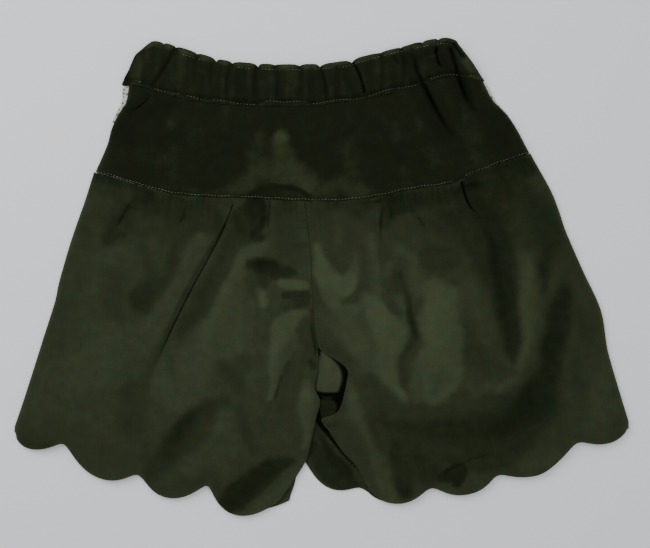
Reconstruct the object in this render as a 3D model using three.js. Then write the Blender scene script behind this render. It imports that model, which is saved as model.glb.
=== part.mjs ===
// Child's pull-on shorts in fine corduroy, laid flat with the back upwards: an elasticated waistband
// casing, a hip yoke, two wide legs gathered into it and cut to a scalloped hem, and the folded edge of
// a printed pocket facing at each side. Millimetres, +Z up, waist towards +Y. The origin is the middle
// of the footprint, on the surface that the shorts lie on. "Left" and "right" are as seen from above.
import * as THREE from 'three';

// Cloth and how the layers lie
const CLOTH = 1.6; // wall of one panel: corduroy with its turned-in seam and hem allowances
const CASING = 3.6; // wall of the waistband over the elastic: two layers of cloth with the elastic between
const CASING_EDGE = 2.4; // wall of the waistband at its header and at its lower stitching, with no elastic
const FACING = 1.0; // wall of the pocket facing
const SEAM_GAP = 0.3; // between two pieces at a seam
const LAYER_GAP = 0.4; // between the front panels and the back panels that lie on them
const HEADER_RUFFLE = 1.6; // how far the gathered top edge waves in plan
const PARTED_GAP = 1.2; // further gap between the two backs' inside-leg edges

// Outlines that are read across the garment: the height y at each x
const WAIST_TOP = [
  { x: -133, y: 171 }, { x: -124, y: 176 }, { x: -109, y: 171.5 }, { x: -91, y: 166 }, { x: -73, y: 160 },
  { x: -45, y: 158 }, { x: -16, y: 158 }, { x: 10, y: 159 }, { x: 35, y: 164 }, { x: 59, y: 171 },
  { x: 76, y: 175 }, { x: 92, y: 178 }, { x: 100, y: 177 },
];
const WAIST_SEAM = [
  { x: -149, y: 143 }, { x: -136, y: 142 }, { x: -124, y: 138 }, { x: -100, y: 132 }, { x: -70, y: 128 },
  { x: -40, y: 127 }, { x: -7, y: 127 }, { x: 14, y: 130 }, { x: 36, y: 133 }, { x: 60, y: 139 },
  { x: 83, y: 146 }, { x: 100, y: 149 }, { x: 122, y: 146 },
];
const YOKE_SEAM = [
  { x: -170, y: 78 }, { x: -156, y: 74.5 }, { x: -139, y: 69 }, { x: -112, y: 62 }, { x: -85, y: 59.5 },
  { x: -55, y: 58.5 }, { x: -13, y: 57 }, { x: 16, y: 57 }, { x: 43, y: 60 }, { x: 66, y: 65 },
  { x: 96, y: 70 }, { x: 114, y: 77 }, { x: 137, y: 86 }, { x: 156, y: 92 },
];

// Outlines that are read down the garment: the place x at each height y
const SIDE_LEFT = [
  { y: 143, x: -144 }, { y: 127, x: -147 }, { y: 119, x: -152 }, { y: 109, x: -158 }, { y: 95, x: -162.5 },
  { y: 78, x: -170 }, { y: 57, x: -177 }, { y: 27, x: -187 }, { y: -5, x: -197 }, { y: -18, x: -199 },
  { y: -48, x: -209 }, { y: -78, x: -219 }, { y: -112, x: -229 },
];
const SIDE_RIGHT = [
  { y: 146, x: 121 }, { y: 132, x: 128 }, { y: 121, x: 138 }, { y: 110, x: 146 }, { y: 92, x: 156 },
  { y: 65, x: 171 }, { y: 35, x: 182 }, { y: 5, x: 195 }, { y: -25, x: 208 }, { y: -55, x: 213 },
  { y: -78, x: 220 }, { y: -108, x: 229 },
];
const BACK_INNER_LEFT = [
  { y: 58, x: -13 }, { y: 35, x: -10 }, { y: 12, x: -8 }, { y: -33, x: -5.5 }, { y: -56, x: -2.5 },
  { y: -71, x: -3 }, { y: -83, x: -5 }, { y: -93, x: -1 }, { y: -104, x: -3.5 }, { y: -115, x: -6 },
  { y: -136, x: -11 }, { y: -152, x: -20.5 }, { y: -167, x: -30.5 },
];
const BACK_INNER_RIGHT = [
  { y: 58, x: -13 }, { y: 35, x: -10 }, { y: 12, x: -8 }, { y: -33, x: -5.5 }, { y: -56, x: -2 },
  { y: -83, x: -4 }, { y: -93, x: 0 }, { y: -102, x: -1.5 }, { y: -115, x: 4 }, { y: -130, x: 14 },
  { y: -142, x: 25 }, { y: -156, x: 32.5 },
];
const FRONT_INNER_LEFT = [
  { y: 58, x: -13 }, { y: -56, x: -10 }, { y: -134, x: -17 }, { y: -154, x: -21 }, { y: -166, x: -25 },
];
const FRONT_INNER_RIGHT = [
  { y: 58, x: -12 }, { y: -56, x: -9 }, { y: -134, x: -15 },
];

// Scalloped hems: each row is a cusp, and drop is how far the scallop from there to the next cusp hangs
const BACK_HEM_LEFT = [
  { x: -229, y: -112, drop: 11 }, { x: -193, y: -125, drop: 14 }, { x: -137.5, y: -147.5, drop: 14 },
  { x: -85, y: -156, drop: 17.5 }, { x: -30.5, y: -167, drop: 0 },
];
const BACK_HEM_RIGHT = [
  { x: 32.5, y: -156, drop: 13 }, { x: 81.5, y: -158, drop: 9.5 }, { x: 131, y: -148.5, drop: 12 },
  { x: 191, y: -125, drop: 10 }, { x: 229, y: -108, drop: 0 },
];
const FRONT_HEM_LEFT = [
  { x: -228, y: -111, drop: 9.5 }, { x: -193, y: -123.5, drop: 12.5 }, { x: -137.5, y: -146, drop: 12.5 },
  { x: -85, y: -154.5, drop: 13 }, { x: -25, y: -166, drop: 0 },
];
const FRONT_HEM_RIGHT = [
  { x: -15, y: -134, drop: 12 }, { x: 30, y: -156.5, drop: 12 }, { x: 81.5, y: -156.5, drop: 8 },
  { x: 131, y: -147, drop: 10.5 }, { x: 191, y: -123.5, drop: 8.5 }, { x: 228, y: -107, drop: 0 },
];
const SCALLOP_FULLNESS = 2.4; // 2 is a parabola, and more is squarer

// How high the back panels lie off the front ones, away from the sides
const LOFT = [
  { y: -180, lift: 0.6 }, { y: -150, lift: 1.4 }, { y: -110, lift: 2.6 }, { y: -60, lift: 3.4 },
  { y: 0, lift: 3.2 }, { y: 45, lift: 2.2 }, { y: 62, lift: 1.6 }, { y: 95, lift: 1.2 },
  { y: 125, lift: 1.0 }, { y: 180, lift: 0.6 },
];
const LOFT_REACH = 16; // how far in from a side the cloth takes to rise to it
const BAND_LIFT = FACING + SEAM_GAP; // the yoke climbs over the pocket facings to the casing
const BAND_LIFT_FROM = 84; // heights y between which it climbs
const BAND_LIFT_TO = 112;
const CROTCH_Y = -56;
const PIN_SHARPNESS = 12; // how close to its ends a leg's edge is eased over to the leg's corners

// The largest folds. along is the fold's path, left and right its half-widths on the two sides of that
// path, height what it raises or sinks, and start and end the shares of its length over which it fades.
const FOLDS = [
  // knife pleat down the left leg, with its sharp side to the right, and the hollow beside it
  { along: [[-63, 55], [-91, 11], [-115, -36], [-140, -104]],
    left: 5, right: 18, height: 3.6, start: 0, end: 0.6 },
  { along: [[-57, 46], [-80, -3], [-99, -40]], left: 9, right: 9, height: -1.6, start: 0.2, end: 0.5 },
  // left leg's soft hollows and ridges
  { along: [[-146, 50], [-163, 21]], left: 6, right: 6, height: -1.8, start: 0, end: 0.6 },
  { along: [[-117, 5], [-136, -25]], left: 11, right: 11, height: -1.8, start: 0.4, end: 0.4 },
  { along: [[-136, -55], [-142, -108]], left: 10, right: 10, height: -1.8, start: 0.4, end: 0.4 },
  { along: [[-72, -89], [-99, -115], [-121, -141]],
    left: 9, right: 9, height: -2.2, start: 0.4, end: 0.2 },
  { along: [[-54, -93], [-80, -130], [-99, -160]],
    left: 11, right: 11, height: 2.0, start: 0.4, end: 0.2 },
  { along: [[-16, -126], [-45, -145], [-70, -164]],
    left: 10, right: 10, height: -2.4, start: 0.3, end: 0.3 },
  { along: [[-16, -29], [-27, -63], [-37, -96]],
    left: 5, right: 5, height: -2.2, start: 0.3, end: 0.5 },
  { along: [[-37, -40], [-42, -93]], left: 7, right: 7, height: 1.6, start: 0.4, end: 0.5 },
  { along: [[-54, 11], [-22, 8]], left: 7, right: 7, height: -2.4, start: 0.4, end: 0.4 },
  { along: [[-61, 20], [-72, -25], [-87, -70]], left: 9, right: 9, height: 2.4, start: 0.3, end: 0.5 },
  { along: [[-9, -88], [-17, -138]], left: 8, right: 8, height: 2.6, start: 0.3, end: 0.3 },
  // seam of the two backs
  { along: [[-13, 56], [-8, 12], [-6, -46]], left: 4, right: 4, height: -1.2, start: 0, end: 0.2 },
  // right leg: two short tucks, the bent crease, the long trough, and the ridge that sweeps below it
  { along: [[41, 57], [43, 21]], left: 4, right: 4, height: -2.0, start: 0, end: 0.5 },
  { along: [[53, 11], [60, -10], [71, -33], [66, -55], [65, -72]],
    left: 6, right: 5, height: -2.8, start: 0.2, end: 0.4 },
  { along: [[29, -18], [48, -55], [59, -81]], left: 16, right: 16, height: 2.6, start: 0.4, end: 0.4 },
  { along: [[81, 12], [89, -33], [81, -78]], left: 15, right: 15, height: 3.2, start: 0.4, end: 0.4 },
  { along: [[108, 70], [115, 46], [130, 20], [138, -18], [143, -59]],
    left: 9, right: 7, height: -3.4, start: 0, end: 0.3 },
  { along: [[149, 46], [158, -3], [155, -48], [134, -78], [96, -93]],
    left: 8, right: 8, height: 3.0, start: 0.3, end: 0.3 },
  { along: [[180, -6], [168, -55], [145, -96], [104, -119], [51, -117]],
    left: 12, right: 12, height: -2.2, start: 0.3, end: 0.3 },
  { along: [[20, -74], [30, -108], [44, -141], [57, -160]],
    left: 8, right: 8, height: 3.2, start: 0.1, end: 0.4 },
  { along: [[38, -93], [55, -130], [74, -153]], left: 9, right: 9, height: -1.8, start: 0.4, end: 0.3 },
  // hollow at the crotch, where the inside-leg cloth dips between the legs
  { along: [[4, -62], [10, -78], [7, -98]], left: 8, right: 9, height: -6.0, start: 0.1, end: 0.1 },
  // yoke: the hollow and crown over the seam, the folds that run down from the band at both ends
  { along: [[-35, 117], [-27, 91]], left: 11, right: 11, height: 1.4, start: 0.4, end: 0.4 },
  { along: [[-54, 65], [-27, 70], [-9, 61]], left: 5, right: 5, height: -1.2, start: 0.3, end: 0.3 },
  { along: [[69, 174], [74, 144], [87, 121], [101, 99]],
    left: 5, right: 5, height: -3.4, start: 0, end: 0.4 },
  { along: [[83, 166], [96, 132], [111, 102]], left: 6, right: 6, height: 2.6, start: 0, end: 0.5 },
  { along: [[94, 176], [104, 147], [108, 132], [119, 110]],
    left: 5, right: 4, height: -3.0, start: 0, end: 0.4 },
  { along: [[-127, 136], [-135, 126], [-145, 119]],
    left: 4, right: 4, height: -1.4, start: 0.1, end: 0.2 },
];

// Gathers: how many waves each gathered edge has, how deep, and how unevenly they are spaced
const BAND_GATHERS = { waves: 22, depth: 1.2, uneven: 0.012, sway: 7 };
const LEG_GATHERS = { waves: 11, depth: 1.0, uneven: 0.02, sway: 5 };
const LEG_GATHER_REACH = 17; // how far below the yoke seam they die away

// How finely each wall is divided
const COLUMNS = { band: 110, frontBand: 44, yoke: 40, frontYoke: 20, leg: 40, frontLeg: 30, facing: 4 };
const ROWS = { band: 6, frontBand: 6, yoke: 9, frontYoke: 3, leg: 21, frontLeg: 5, facing: 8 };

// Finishes
const YOKE_GREEN = { color: 0x191d11, roughness: 0.95, metalness: 0 };
const LEG_GREEN = { color: 0x2c3122, roughness: 0.92, metalness: 0 };
const PRINT = { color: 0xd8dcd6, roughness: 0.85, metalness: 0 };

const clamp = (value, low, high) => Math.min(Math.max(value, low), high);
const mix = (a, b, share) => a + (b - a) * share;
const ease = (share) => { const t = clamp(share, 0, 1); return t * t * (3 - 2 * t); };

// A smooth curve through a table's rows, as a function from its first column to its second.
function through(rows, from, to) {
  const sign = Math.sign(rows[rows.length - 1][from] - rows[0][from]);
  const slope = (i) => {
    const a = rows[Math.max(i - 1, 0)];
    const b = rows[Math.min(i + 1, rows.length - 1)];
    return (b[to] - a[to]) / (b[from] - a[from]);
  };
  return (at) => {
    let i = rows.findIndex((row, k) => k > 0 && (at - row[from]) * sign <= 0) - 1;
    if (i < 0) i = rows.length - 2;
    const [a, b] = [rows[i], rows[i + 1]];
    const span = b[from] - a[from];
    const t = clamp((at - a[from]) / span, 0, 1);
    const pull = span * t * (1 - t);
    return mix(a[to], b[to], ease(t)) + pull * ((1 - t) * slope(i) - t * slope(i + 1));
  };
}

const waistTop = through(WAIST_TOP, 'x', 'y');
const waistSeam = through(WAIST_SEAM, 'x', 'y');
const yokeSeam = through(YOKE_SEAM, 'x', 'y');
const sideLeft = through(SIDE_LEFT, 'y', 'x');
const sideRight = through(SIDE_RIGHT, 'y', 'x');
const innerLeft = through(BACK_INNER_LEFT, 'y', 'x');
const innerRight = through(BACK_INNER_RIGHT, 'y', 'x');
const frontInnerLeft = through(FRONT_INNER_LEFT, 'y', 'x');
const frontInnerRight = through(FRONT_INNER_RIGHT, 'y', 'x');
const loft = through(LOFT, 'y', 'lift');

// The scalloped hem: the point at share u, on the line through the cusps, and its hang below that line.
function hem(cusps) {
  const spans = cusps.slice(1).map((b, i) => {
    const a = cusps[i];
    return { a, b, length: Math.hypot(b.x - a.x, b.y - a.y) };
  });
  const total = spans.reduce((sum, span) => sum + span.length, 0);
  return (u) => {
    let before = 0;
    let span = spans[0];
    for (span of spans) {
      if (u * total <= before + span.length + 1e-9) break;
      before += span.length;
    }
    const t = clamp((u * total - before) / span.length, 0, 1);
    const hang = span.a.drop * (1 - Math.abs(2 * t - 1) ** SCALLOP_FULLNESS);
    const across = new THREE.Vector2(span.b.x - span.a.x, span.b.y - span.a.y).divideScalar(span.length);
    return {
      x: mix(span.a.x, span.b.x, t),
      y: mix(span.a.y, span.b.y, t),
      hang: new THREE.Vector2(across.y, -across.x).multiplyScalar(hang),
    };
  };
}

// The shares u of a leg's columns, so that every cusp of its hem falls on a column.
function columnShares(cusps, columns) {
  const lengths = cusps.slice(1).map((b, i) => Math.hypot(b.x - cusps[i].x, b.y - cusps[i].y));
  const total = lengths.reduce((sum, length) => sum + length, 0);
  const shares = [0];
  let before = 0;
  for (const length of lengths) {
    const steps = Math.max(3, Math.round((columns * length) / total));
    for (let i = 1; i <= steps; i++) shares.push((before + (length * i) / steps) / total);
    before += length;
  }
  return shares;
}

// What one fold adds at (x, y): the nearest place on its path gives the side, the distance and the fade.
const foldPaths = FOLDS.map((fold) => {
  const curve = new THREE.SplineCurve(fold.along.map(([x, y]) => new THREE.Vector2(x, y)));
  return { ...fold, points: curve.getSpacedPoints(24) };
});
function foldHeight(fold, x, y) {
  let best = { square: Infinity };
  const last = fold.points.length - 1;
  for (let i = 0; i < last; i++) {
    const [a, b] = [fold.points[i], fold.points[i + 1]];
    const run = { x: b.x - a.x, y: b.y - a.y };
    const t = clamp(((x - a.x) * run.x + (y - a.y) * run.y) / (run.x ** 2 + run.y ** 2), 0, 1);
    const off = { x: x - a.x - t * run.x, y: y - a.y - t * run.y };
    const square = off.x ** 2 + off.y ** 2;
    if (square < best.square) best = { square, share: (i + t) / last, side: run.x * off.y - run.y * off.x };
  }
  const width = best.side > 0 ? fold.left : fold.right;
  const fadeIn = fold.start ? ease(best.share / fold.start) : 1;
  const fadeOut = fold.end ? ease((1 - best.share) / fold.end) : 1;
  return fold.height * fadeIn * fadeOut * Math.exp(-best.square / width ** 2);
}
const foldsAt = (x, y) => foldPaths.reduce((sum, fold) => sum + foldHeight(fold, x, y), 0);

// An uneven wave from -1 to 1 along a gathered edge.
function gather({ waves, uneven, sway }, u) {
  const share = u + uneven * Math.sin(sway * Math.PI * u) + (uneven / 2) * Math.sin(3 * sway * u + 1);
  return Math.cos(2 * Math.PI * waves * share);
}

// A patch stretched between four edges, as a function of the shares u across and v down.
function patch({ left, right, top, bottom }) {
  const corner = (u, v) => (v ? bottom(u) : top(u));
  return (u, v) => {
    const at = { hang: { x: 0, y: 0 }, ...bottom(u) };
    const [t, l, r] = [top(u), left(v), right(v)];
    const [c00, c10, c01, c11] = [corner(0, 0), corner(1, 0), corner(0, 1), corner(1, 1)];
    const blend = (k) => mix(t[k], at[k], v) + mix(l[k], r[k], u)
      - mix(mix(c00[k], c10[k], u), mix(c01[k], c11[k], u), v);
    const hanging = v ** 6;
    return { x: blend('x') + at.hang.x * hanging, y: blend('y') + at.hang.y * hanging };
  };
}

// A wall of cloth over a patch: under(x, y, u, v) is the height of its underside, thick its thickness.
function wall(name, { shape, shares, rows, under, thick }, finish) {
  const columns = shares.length;
  const positions = [];
  const [lower, upper] = [0, 1].map((side) => shares.map((u) => Array.from({ length: rows + 1 }, (_, j) => {
    const v = j / rows;
    const { x, y } = shape(u, v);
    const low = under(x, y, u, v);
    positions.push(x, y, side ? low + thick(u, v) : low);
    return positions.length / 3 - 1;
  })));
  const index = [];
  const quad = (a, b, c, d) => index.push(a, b, c, a, c, d);
  for (let i = 0; i + 1 < columns; i++) {
    for (let j = 0; j < rows; j++) {
      quad(upper[i][j], upper[i][j + 1], upper[i + 1][j + 1], upper[i + 1][j]);
      quad(lower[i][j], lower[i + 1][j], lower[i + 1][j + 1], lower[i][j + 1]);
    }
    quad(upper[i][0], upper[i + 1][0], lower[i + 1][0], lower[i][0]);
    quad(upper[i + 1][rows], upper[i][rows], lower[i][rows], lower[i + 1][rows]);
  }
  for (let j = 0; j < rows; j++) {
    quad(upper[0][j + 1], upper[0][j], lower[0][j], lower[0][j + 1]);
    quad(upper[columns - 1][j], upper[columns - 1][j + 1], lower[columns - 1][j + 1], lower[columns - 1][j]);
  }
  const geometry = new THREE.BufferGeometry();
  geometry.setAttribute('position', new THREE.Float32BufferAttribute(positions, 3));
  geometry.setIndex(index);
  geometry.computeVertexNormals();
  const mesh = new THREE.Mesh(geometry, new THREE.MeshStandardMaterial(finish));
  mesh.name = name;
  return mesh;
}

const even = (columns) => Array.from({ length: columns + 1 }, (_, i) => i / columns);

// The straight run of x or y between an edge's two ends, read through a curve.
const across = (x0, x1, curve, shift = 0) => (u) => {
  const x = mix(x0, x1, u);
  return { x, y: curve(x) + shift };
};
const down = (y0, y1, curve, shift = 0) => (v) => {
  const y = mix(y0, y1, v);
  return { x: curve(y) + shift, y };
};
const straight = (a, b) => (v) => ({ x: mix(a.x, b.x, v), y: mix(a.y, b.y, v) });

// Heights of the back layer's underside
const backRest = CLOTH + LAYER_GAP;
const climb = (y) => BAND_LIFT * ease((y - BAND_LIFT_FROM) / (BAND_LIFT_TO - BAND_LIFT_FROM));
const rise = (distance) => 1 - Math.exp(-((distance / LOFT_REACH) ** 2));
const backUnder = (x, y, sides) => backRest + climb(y) + Math.max(0, loft(y) * sides + foldsAt(x, y) * sides);

const HALF_SEAM = SEAM_GAP / 2;
const [bandLeft, bandRight] = [WAIST_SEAM[0].x, WAIST_SEAM[WAIST_SEAM.length - 1].x];
const [topLeft, topRight] = [WAIST_TOP[0].x, WAIST_TOP[WAIST_TOP.length - 1].x];
const [sideTopLeft, sideTopRight] = [SIDE_LEFT[0].x, SIDE_RIGHT[0].x];
const [yokeLeft, yokeRight] = [YOKE_SEAM[0], YOKE_SEAM[YOKE_SEAM.length - 1]];
const centreX = BACK_INNER_LEFT[0].x;

// Waistband casing, back and front: the back's outer face and top edge wave with the gathers. The elastic
// fills the casing out between its header and its lower stitching.
const bandWave = (u) => gather(BAND_GATHERS, u);
const casing = (v) => mix(CASING_EDGE, CASING, ease(Math.min(v, 1 - v) * 5));
function bandShape(ruffle) {
  const top = (u) => {
    const at = across(topLeft, topRight, waistTop)(u);
    return { x: at.x, y: at.y + ruffle * (bandWave(u) - 1) / 2 };
  };
  const bottom = across(bandLeft, bandRight, waistSeam, HALF_SEAM);
  return patch({ top, bottom, left: straight(top(0), bottom(0)), right: straight(top(1), bottom(1)) });
}
const bandSides = (u) => rise(Math.min(u, 1 - u) * (bandRight - bandLeft));
function backBand() {
  const under = (x, y, u, v) => {
    const off = (loft(y) + foldsAt(x, y)) * bandSides(u);
    return casing(v) + LAYER_GAP + Math.max(0, off);
  };
  const thick = (u, v) => casing(v) + (BAND_GATHERS.depth * (1 + bandWave(u))) / 2;
  return wall('waistband_back', {
    shape: bandShape(HEADER_RUFFLE), shares: even(COLUMNS.band), rows: ROWS.band, under, thick,
  }, YOKE_GREEN);
}
const frontBand = () => wall('waistband_front', {
  shape: bandShape(0), shares: even(COLUMNS.frontBand), rows: ROWS.frontBand,
  under: () => 0, thick: (u, v) => casing(v),
}, YOKE_GREEN);

// Yokes between the waistband and the gathered legs
function yokeShape(inset) {
  const top = across(sideTopLeft + inset, sideTopRight - inset, waistSeam, -HALF_SEAM);
  const bottom = across(yokeLeft.x + inset, yokeRight.x - inset, yokeSeam, HALF_SEAM);
  const left = down(top(0).y, bottom(0).y, sideLeft, inset);
  const right = down(top(1).y, bottom(1).y, sideRight, -inset);
  return patch({ top, bottom, left, right });
}
function backYoke() {
  const under = (x, y) => backUnder(x, y, rise(Math.min(x - sideLeft(y), sideRight(y) - x)));
  return wall('yoke_back', {
    shape: yokeShape(0), shares: even(COLUMNS.yoke), rows: ROWS.yoke, under, thick: () => CLOTH,
  }, YOKE_GREEN);
}
const frontYoke = () => wall('yoke_front', {
  shape: yokeShape(0.2), shares: even(COLUMNS.frontYoke), rows: ROWS.frontYoke,
  under: () => 0, thick: () => CLOTH,
}, YOKE_GREEN);

// Legs: gathered at the yoke seam, scalloped at the hem
function legShape({ from, to, side, inner, sideFirst, cusps }) {
  const top = across(from, to, yokeSeam, -HALF_SEAM);
  const bottom = hem(cusps);
  const [first, last] = [bottom(0), bottom(1)];
  const [outer, inside] = sideFirst ? [side, inner] : [inner, side];
  return patch({ top, bottom, left: down(top(0).y, first.y, outer), right: down(top(1).y, last.y, inside) });
}
// An edge that starts and ends exactly on its patch's corners: it is eased over to them near its ends.
const pinned = (curve, y0, x0, y1, x1) => (y) => {
  const share = clamp((y - y0) / (y1 - y0), 0, 1);
  return curve(y) + (x0 - curve(y0)) * (1 - share) ** PIN_SHARPNESS + (x1 - curve(y1)) * share ** PIN_SHARPNESS;
};
function leg({ name, cusps, from, to, side, inner, sideFirst, columns, rows, back }) {
  const [first, last] = [cusps[0], cusps[cusps.length - 1]];
  const [a, b] = sideFirst ? [side, inner] : [inner, side];
  const topY = (x) => yokeSeam(x) - HALF_SEAM;
  const pinnedA = pinned(a, topY(from), from, first.y, first.x);
  const pinnedB = pinned(b, topY(to), to, last.y, last.x);
  const shape = legShape({
    from, to, cusps, sideFirst, side: sideFirst ? pinnedA : pinnedB, inner: sideFirst ? pinnedB : pinnedA,
  });
  const under = (x, y, u, v) => {
    if (!back) return 0;
    const width = Math.abs(pinnedB(y) - pinnedA(y));
    const outward = (sideFirst ? u : 1 - u) * width;
    const inward = (sideFirst ? 1 - u : u) * width;
    const parted = ease((CROTCH_Y + 16 - y) / 20);
    const sides = rise(outward) * mix(1, rise(inward), parted);
    const below = yokeSeam(x) - y;
    const gathers = LEG_GATHERS.depth * (1 + gather(LEG_GATHERS, u)) * Math.exp(-below / LEG_GATHER_REACH);
    return backUnder(x, y, sides) + gathers * rise(outward);
  };
  return wall(name, { shape, shares: columnShares(cusps, columns), rows, under, thick: () => CLOTH }, LEG_GREEN);
}

// Folded edge of the printed pocket facing, between the front and back yokes at one side
function facing({ name, side, outer, inner, y0, y1 }) {
  const edge = (shift) => (v) => { const y = mix(y0, y1, v); return { x: side(y) + shift * mix(1, 0.35, v), y }; };
  const [left, right] = outer < inner ? [edge(outer), edge(inner)] : [edge(inner), edge(outer)];
  const shape = patch({ left, right, top: straight(left(0), right(0)), bottom: straight(left(1), right(1)) });
  const under = () => CLOTH + SEAM_GAP;
  return wall(name, { shape, shares: even(COLUMNS.facing), rows: ROWS.facing, under, thick: () => FACING }, PRINT);
}

// The right back's inner edge keeps clear of the left back's, and more so below the crotch.
const rightOfLeft = (y) => Math.max(innerRight(y), innerLeft(y)) + SEAM_GAP + PARTED_GAP * ease((CROTCH_Y - y) / 12);

const shorts = new THREE.Group();
shorts.name = 'shorts';
shorts.add(
  backBand(),
  frontBand(),
  backYoke(),
  frontYoke(),
  leg({
    name: 'leg_back_left', cusps: BACK_HEM_LEFT, from: yokeLeft.x, to: centreX - HALF_SEAM, side: sideLeft,
    inner: innerLeft, sideFirst: true, columns: COLUMNS.leg, rows: ROWS.leg, back: true,
  }),
  leg({
    name: 'leg_back_right', cusps: BACK_HEM_RIGHT, from: centreX + HALF_SEAM, to: yokeRight.x, side: sideRight,
    inner: rightOfLeft, sideFirst: false, columns: COLUMNS.leg, rows: ROWS.leg, back: true,
  }),
  leg({
    name: 'leg_front_left', cusps: FRONT_HEM_LEFT, from: yokeLeft.x, to: centreX - HALF_SEAM, side: sideLeft,
    inner: frontInnerLeft, sideFirst: true, columns: COLUMNS.frontLeg, rows: ROWS.frontLeg, back: false,
  }),
  leg({
    name: 'leg_front_right', cusps: FRONT_HEM_RIGHT, from: centreX + HALF_SEAM, to: yokeRight.x, side: sideRight,
    inner: frontInnerRight, sideFirst: false, columns: COLUMNS.frontLeg, rows: ROWS.frontLeg, back: false,
  }),
  facing({ name: 'pocket_facing_left', side: sideLeft, outer: -5, inner: 3, y0: 141, y1: 115 }),
  facing({ name: 'pocket_facing_right', side: sideRight, outer: 2.5, inner: -3, y0: 143, y1: 117 }),
);

export default shorts;
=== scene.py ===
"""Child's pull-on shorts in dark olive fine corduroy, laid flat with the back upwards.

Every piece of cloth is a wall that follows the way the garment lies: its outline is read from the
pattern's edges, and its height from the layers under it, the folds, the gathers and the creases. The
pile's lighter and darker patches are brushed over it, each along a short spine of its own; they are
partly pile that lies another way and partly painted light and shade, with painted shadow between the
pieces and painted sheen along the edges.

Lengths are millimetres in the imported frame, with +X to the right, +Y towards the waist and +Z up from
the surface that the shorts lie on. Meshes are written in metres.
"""
from __future__ import annotations

import functools
import logging
import math
from collections.abc import Callable
from dataclasses import dataclass, field
from enum import Enum

import bmesh
import bpy
import numpy as np
from mathutils import Matrix, Vector


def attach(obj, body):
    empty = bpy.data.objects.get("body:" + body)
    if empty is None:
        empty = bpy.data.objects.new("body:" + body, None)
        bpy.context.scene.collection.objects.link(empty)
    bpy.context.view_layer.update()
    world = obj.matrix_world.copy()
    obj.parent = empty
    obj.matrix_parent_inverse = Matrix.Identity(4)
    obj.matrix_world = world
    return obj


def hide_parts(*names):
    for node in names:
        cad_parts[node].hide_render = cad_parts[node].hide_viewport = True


log = logging.getLogger("shorts")

MM = 0.001  # metres in a millimetre
PATH_STEPS = 24  # steps between two rows of a path, over which its curve is worked out
SOFT_REACH = 2.6  # half-widths from its path at which a soft stroke has died away
KEEN_REACH = 6.0  # and a keen one
MESH_SAMPLES = 8001  # places along a piece at which its mesh's density is worked out

Array = np.ndarray
Rows = tuple[tuple[float, ...], ...]
Curve = Callable[[Array], Array]
Places = tuple[Array, Array]
Edge = Callable[[Array], Places]
Height = Callable[[Array, Array], Array]
NetHeight = Callable[[Array, Array, Array, Array], Array]


def ease(share: Array) -> Array:
    """Return a smooth step from 0 to 1 as share goes from 0 to 1."""
    t = np.clip(share, 0.0, 1.0)
    return t * t * (3 - 2 * t)


def mix(a: Array, b: Array, share: Array) -> Array:
    """Return the value that lies at share of the way from a to b."""
    return a + (b - a) * share


def bell(distance: Array, width: float) -> Array:
    """Return a rounded hump of height 1 that is about twice width wide."""
    return np.exp(-((distance / width) ** 2))


def puckers(x: Array, pace: float, sway: float, slow: float) -> Array:
    """Return small puckers from -1 to 1 along x, whose pace sways slowly."""
    return np.sin(x * pace + sway * np.sin(x * slow))


@dataclass(frozen=True)
class Outline:
    """A smooth curve through the rows of a short table, each (where, value)."""

    rows: Rows

    def __call__(self, at: Array) -> Array:
        """Return the curve's values at the given places."""
        where, value = np.array(sorted(self.rows)).T
        last = len(where) - 1
        before = np.maximum(np.arange(last + 1) - 1, 0)
        after = np.minimum(np.arange(last + 1) + 1, last)
        slope = (value[after] - value[before]) / (where[after] - where[before])
        at = np.clip(np.asarray(at, dtype=float), where[0], where[-1])
        i = np.clip(np.searchsorted(where, at, side="right") - 1, 0, last - 1)
        span = where[i + 1] - where[i]
        t = (at - where[i]) / span
        pull = span * t * (1 - t) * ((1 - t) * slope[i] - t * slope[i + 1])
        return mix(value[i], value[i + 1], ease(t)) + pull


@functools.lru_cache(maxsize=None)
def smooth_path(rows: Rows, steps: int = 24) -> Array:
    """Return evenly spaced rows of a smooth curve through a path's rows.

    Args:
        rows: the places (x, y) that the curve goes through, with any further columns.
        steps: how many equal steps it is cut into.

    Returns:
        One row for each of its steps + 1 places, with the same columns.
    """
    points = np.array(rows, dtype=float)
    last = len(points) - 1
    at = np.linspace(0, last, PATH_STEPS * last + 1)
    i = np.minimum(at.astype(int), last - 1)
    t = (at - i)[:, None]
    p0, p1 = points[np.where(i > 0, i - 1, i)], points[i]
    p2, p3 = points[i + 1], points[np.where(i + 2 > last, i + 1, i + 2)]
    v1, v2 = (p2 - p0) / 2, (p3 - p1) / 2
    dense = (2 * p1 - 2 * p2 + v1 + v2) * t**3 + (-3 * p1 + 3 * p2 - 2 * v1 - v2) * t**2 + v1 * t + p1
    run = np.concatenate([[0], np.cumsum(np.hypot(*np.diff(dense[:, :2], axis=0).T))])
    even = np.linspace(0, run[-1], steps + 1)
    return np.column_stack([np.interp(even, run, column) for column in dense.T])


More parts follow.
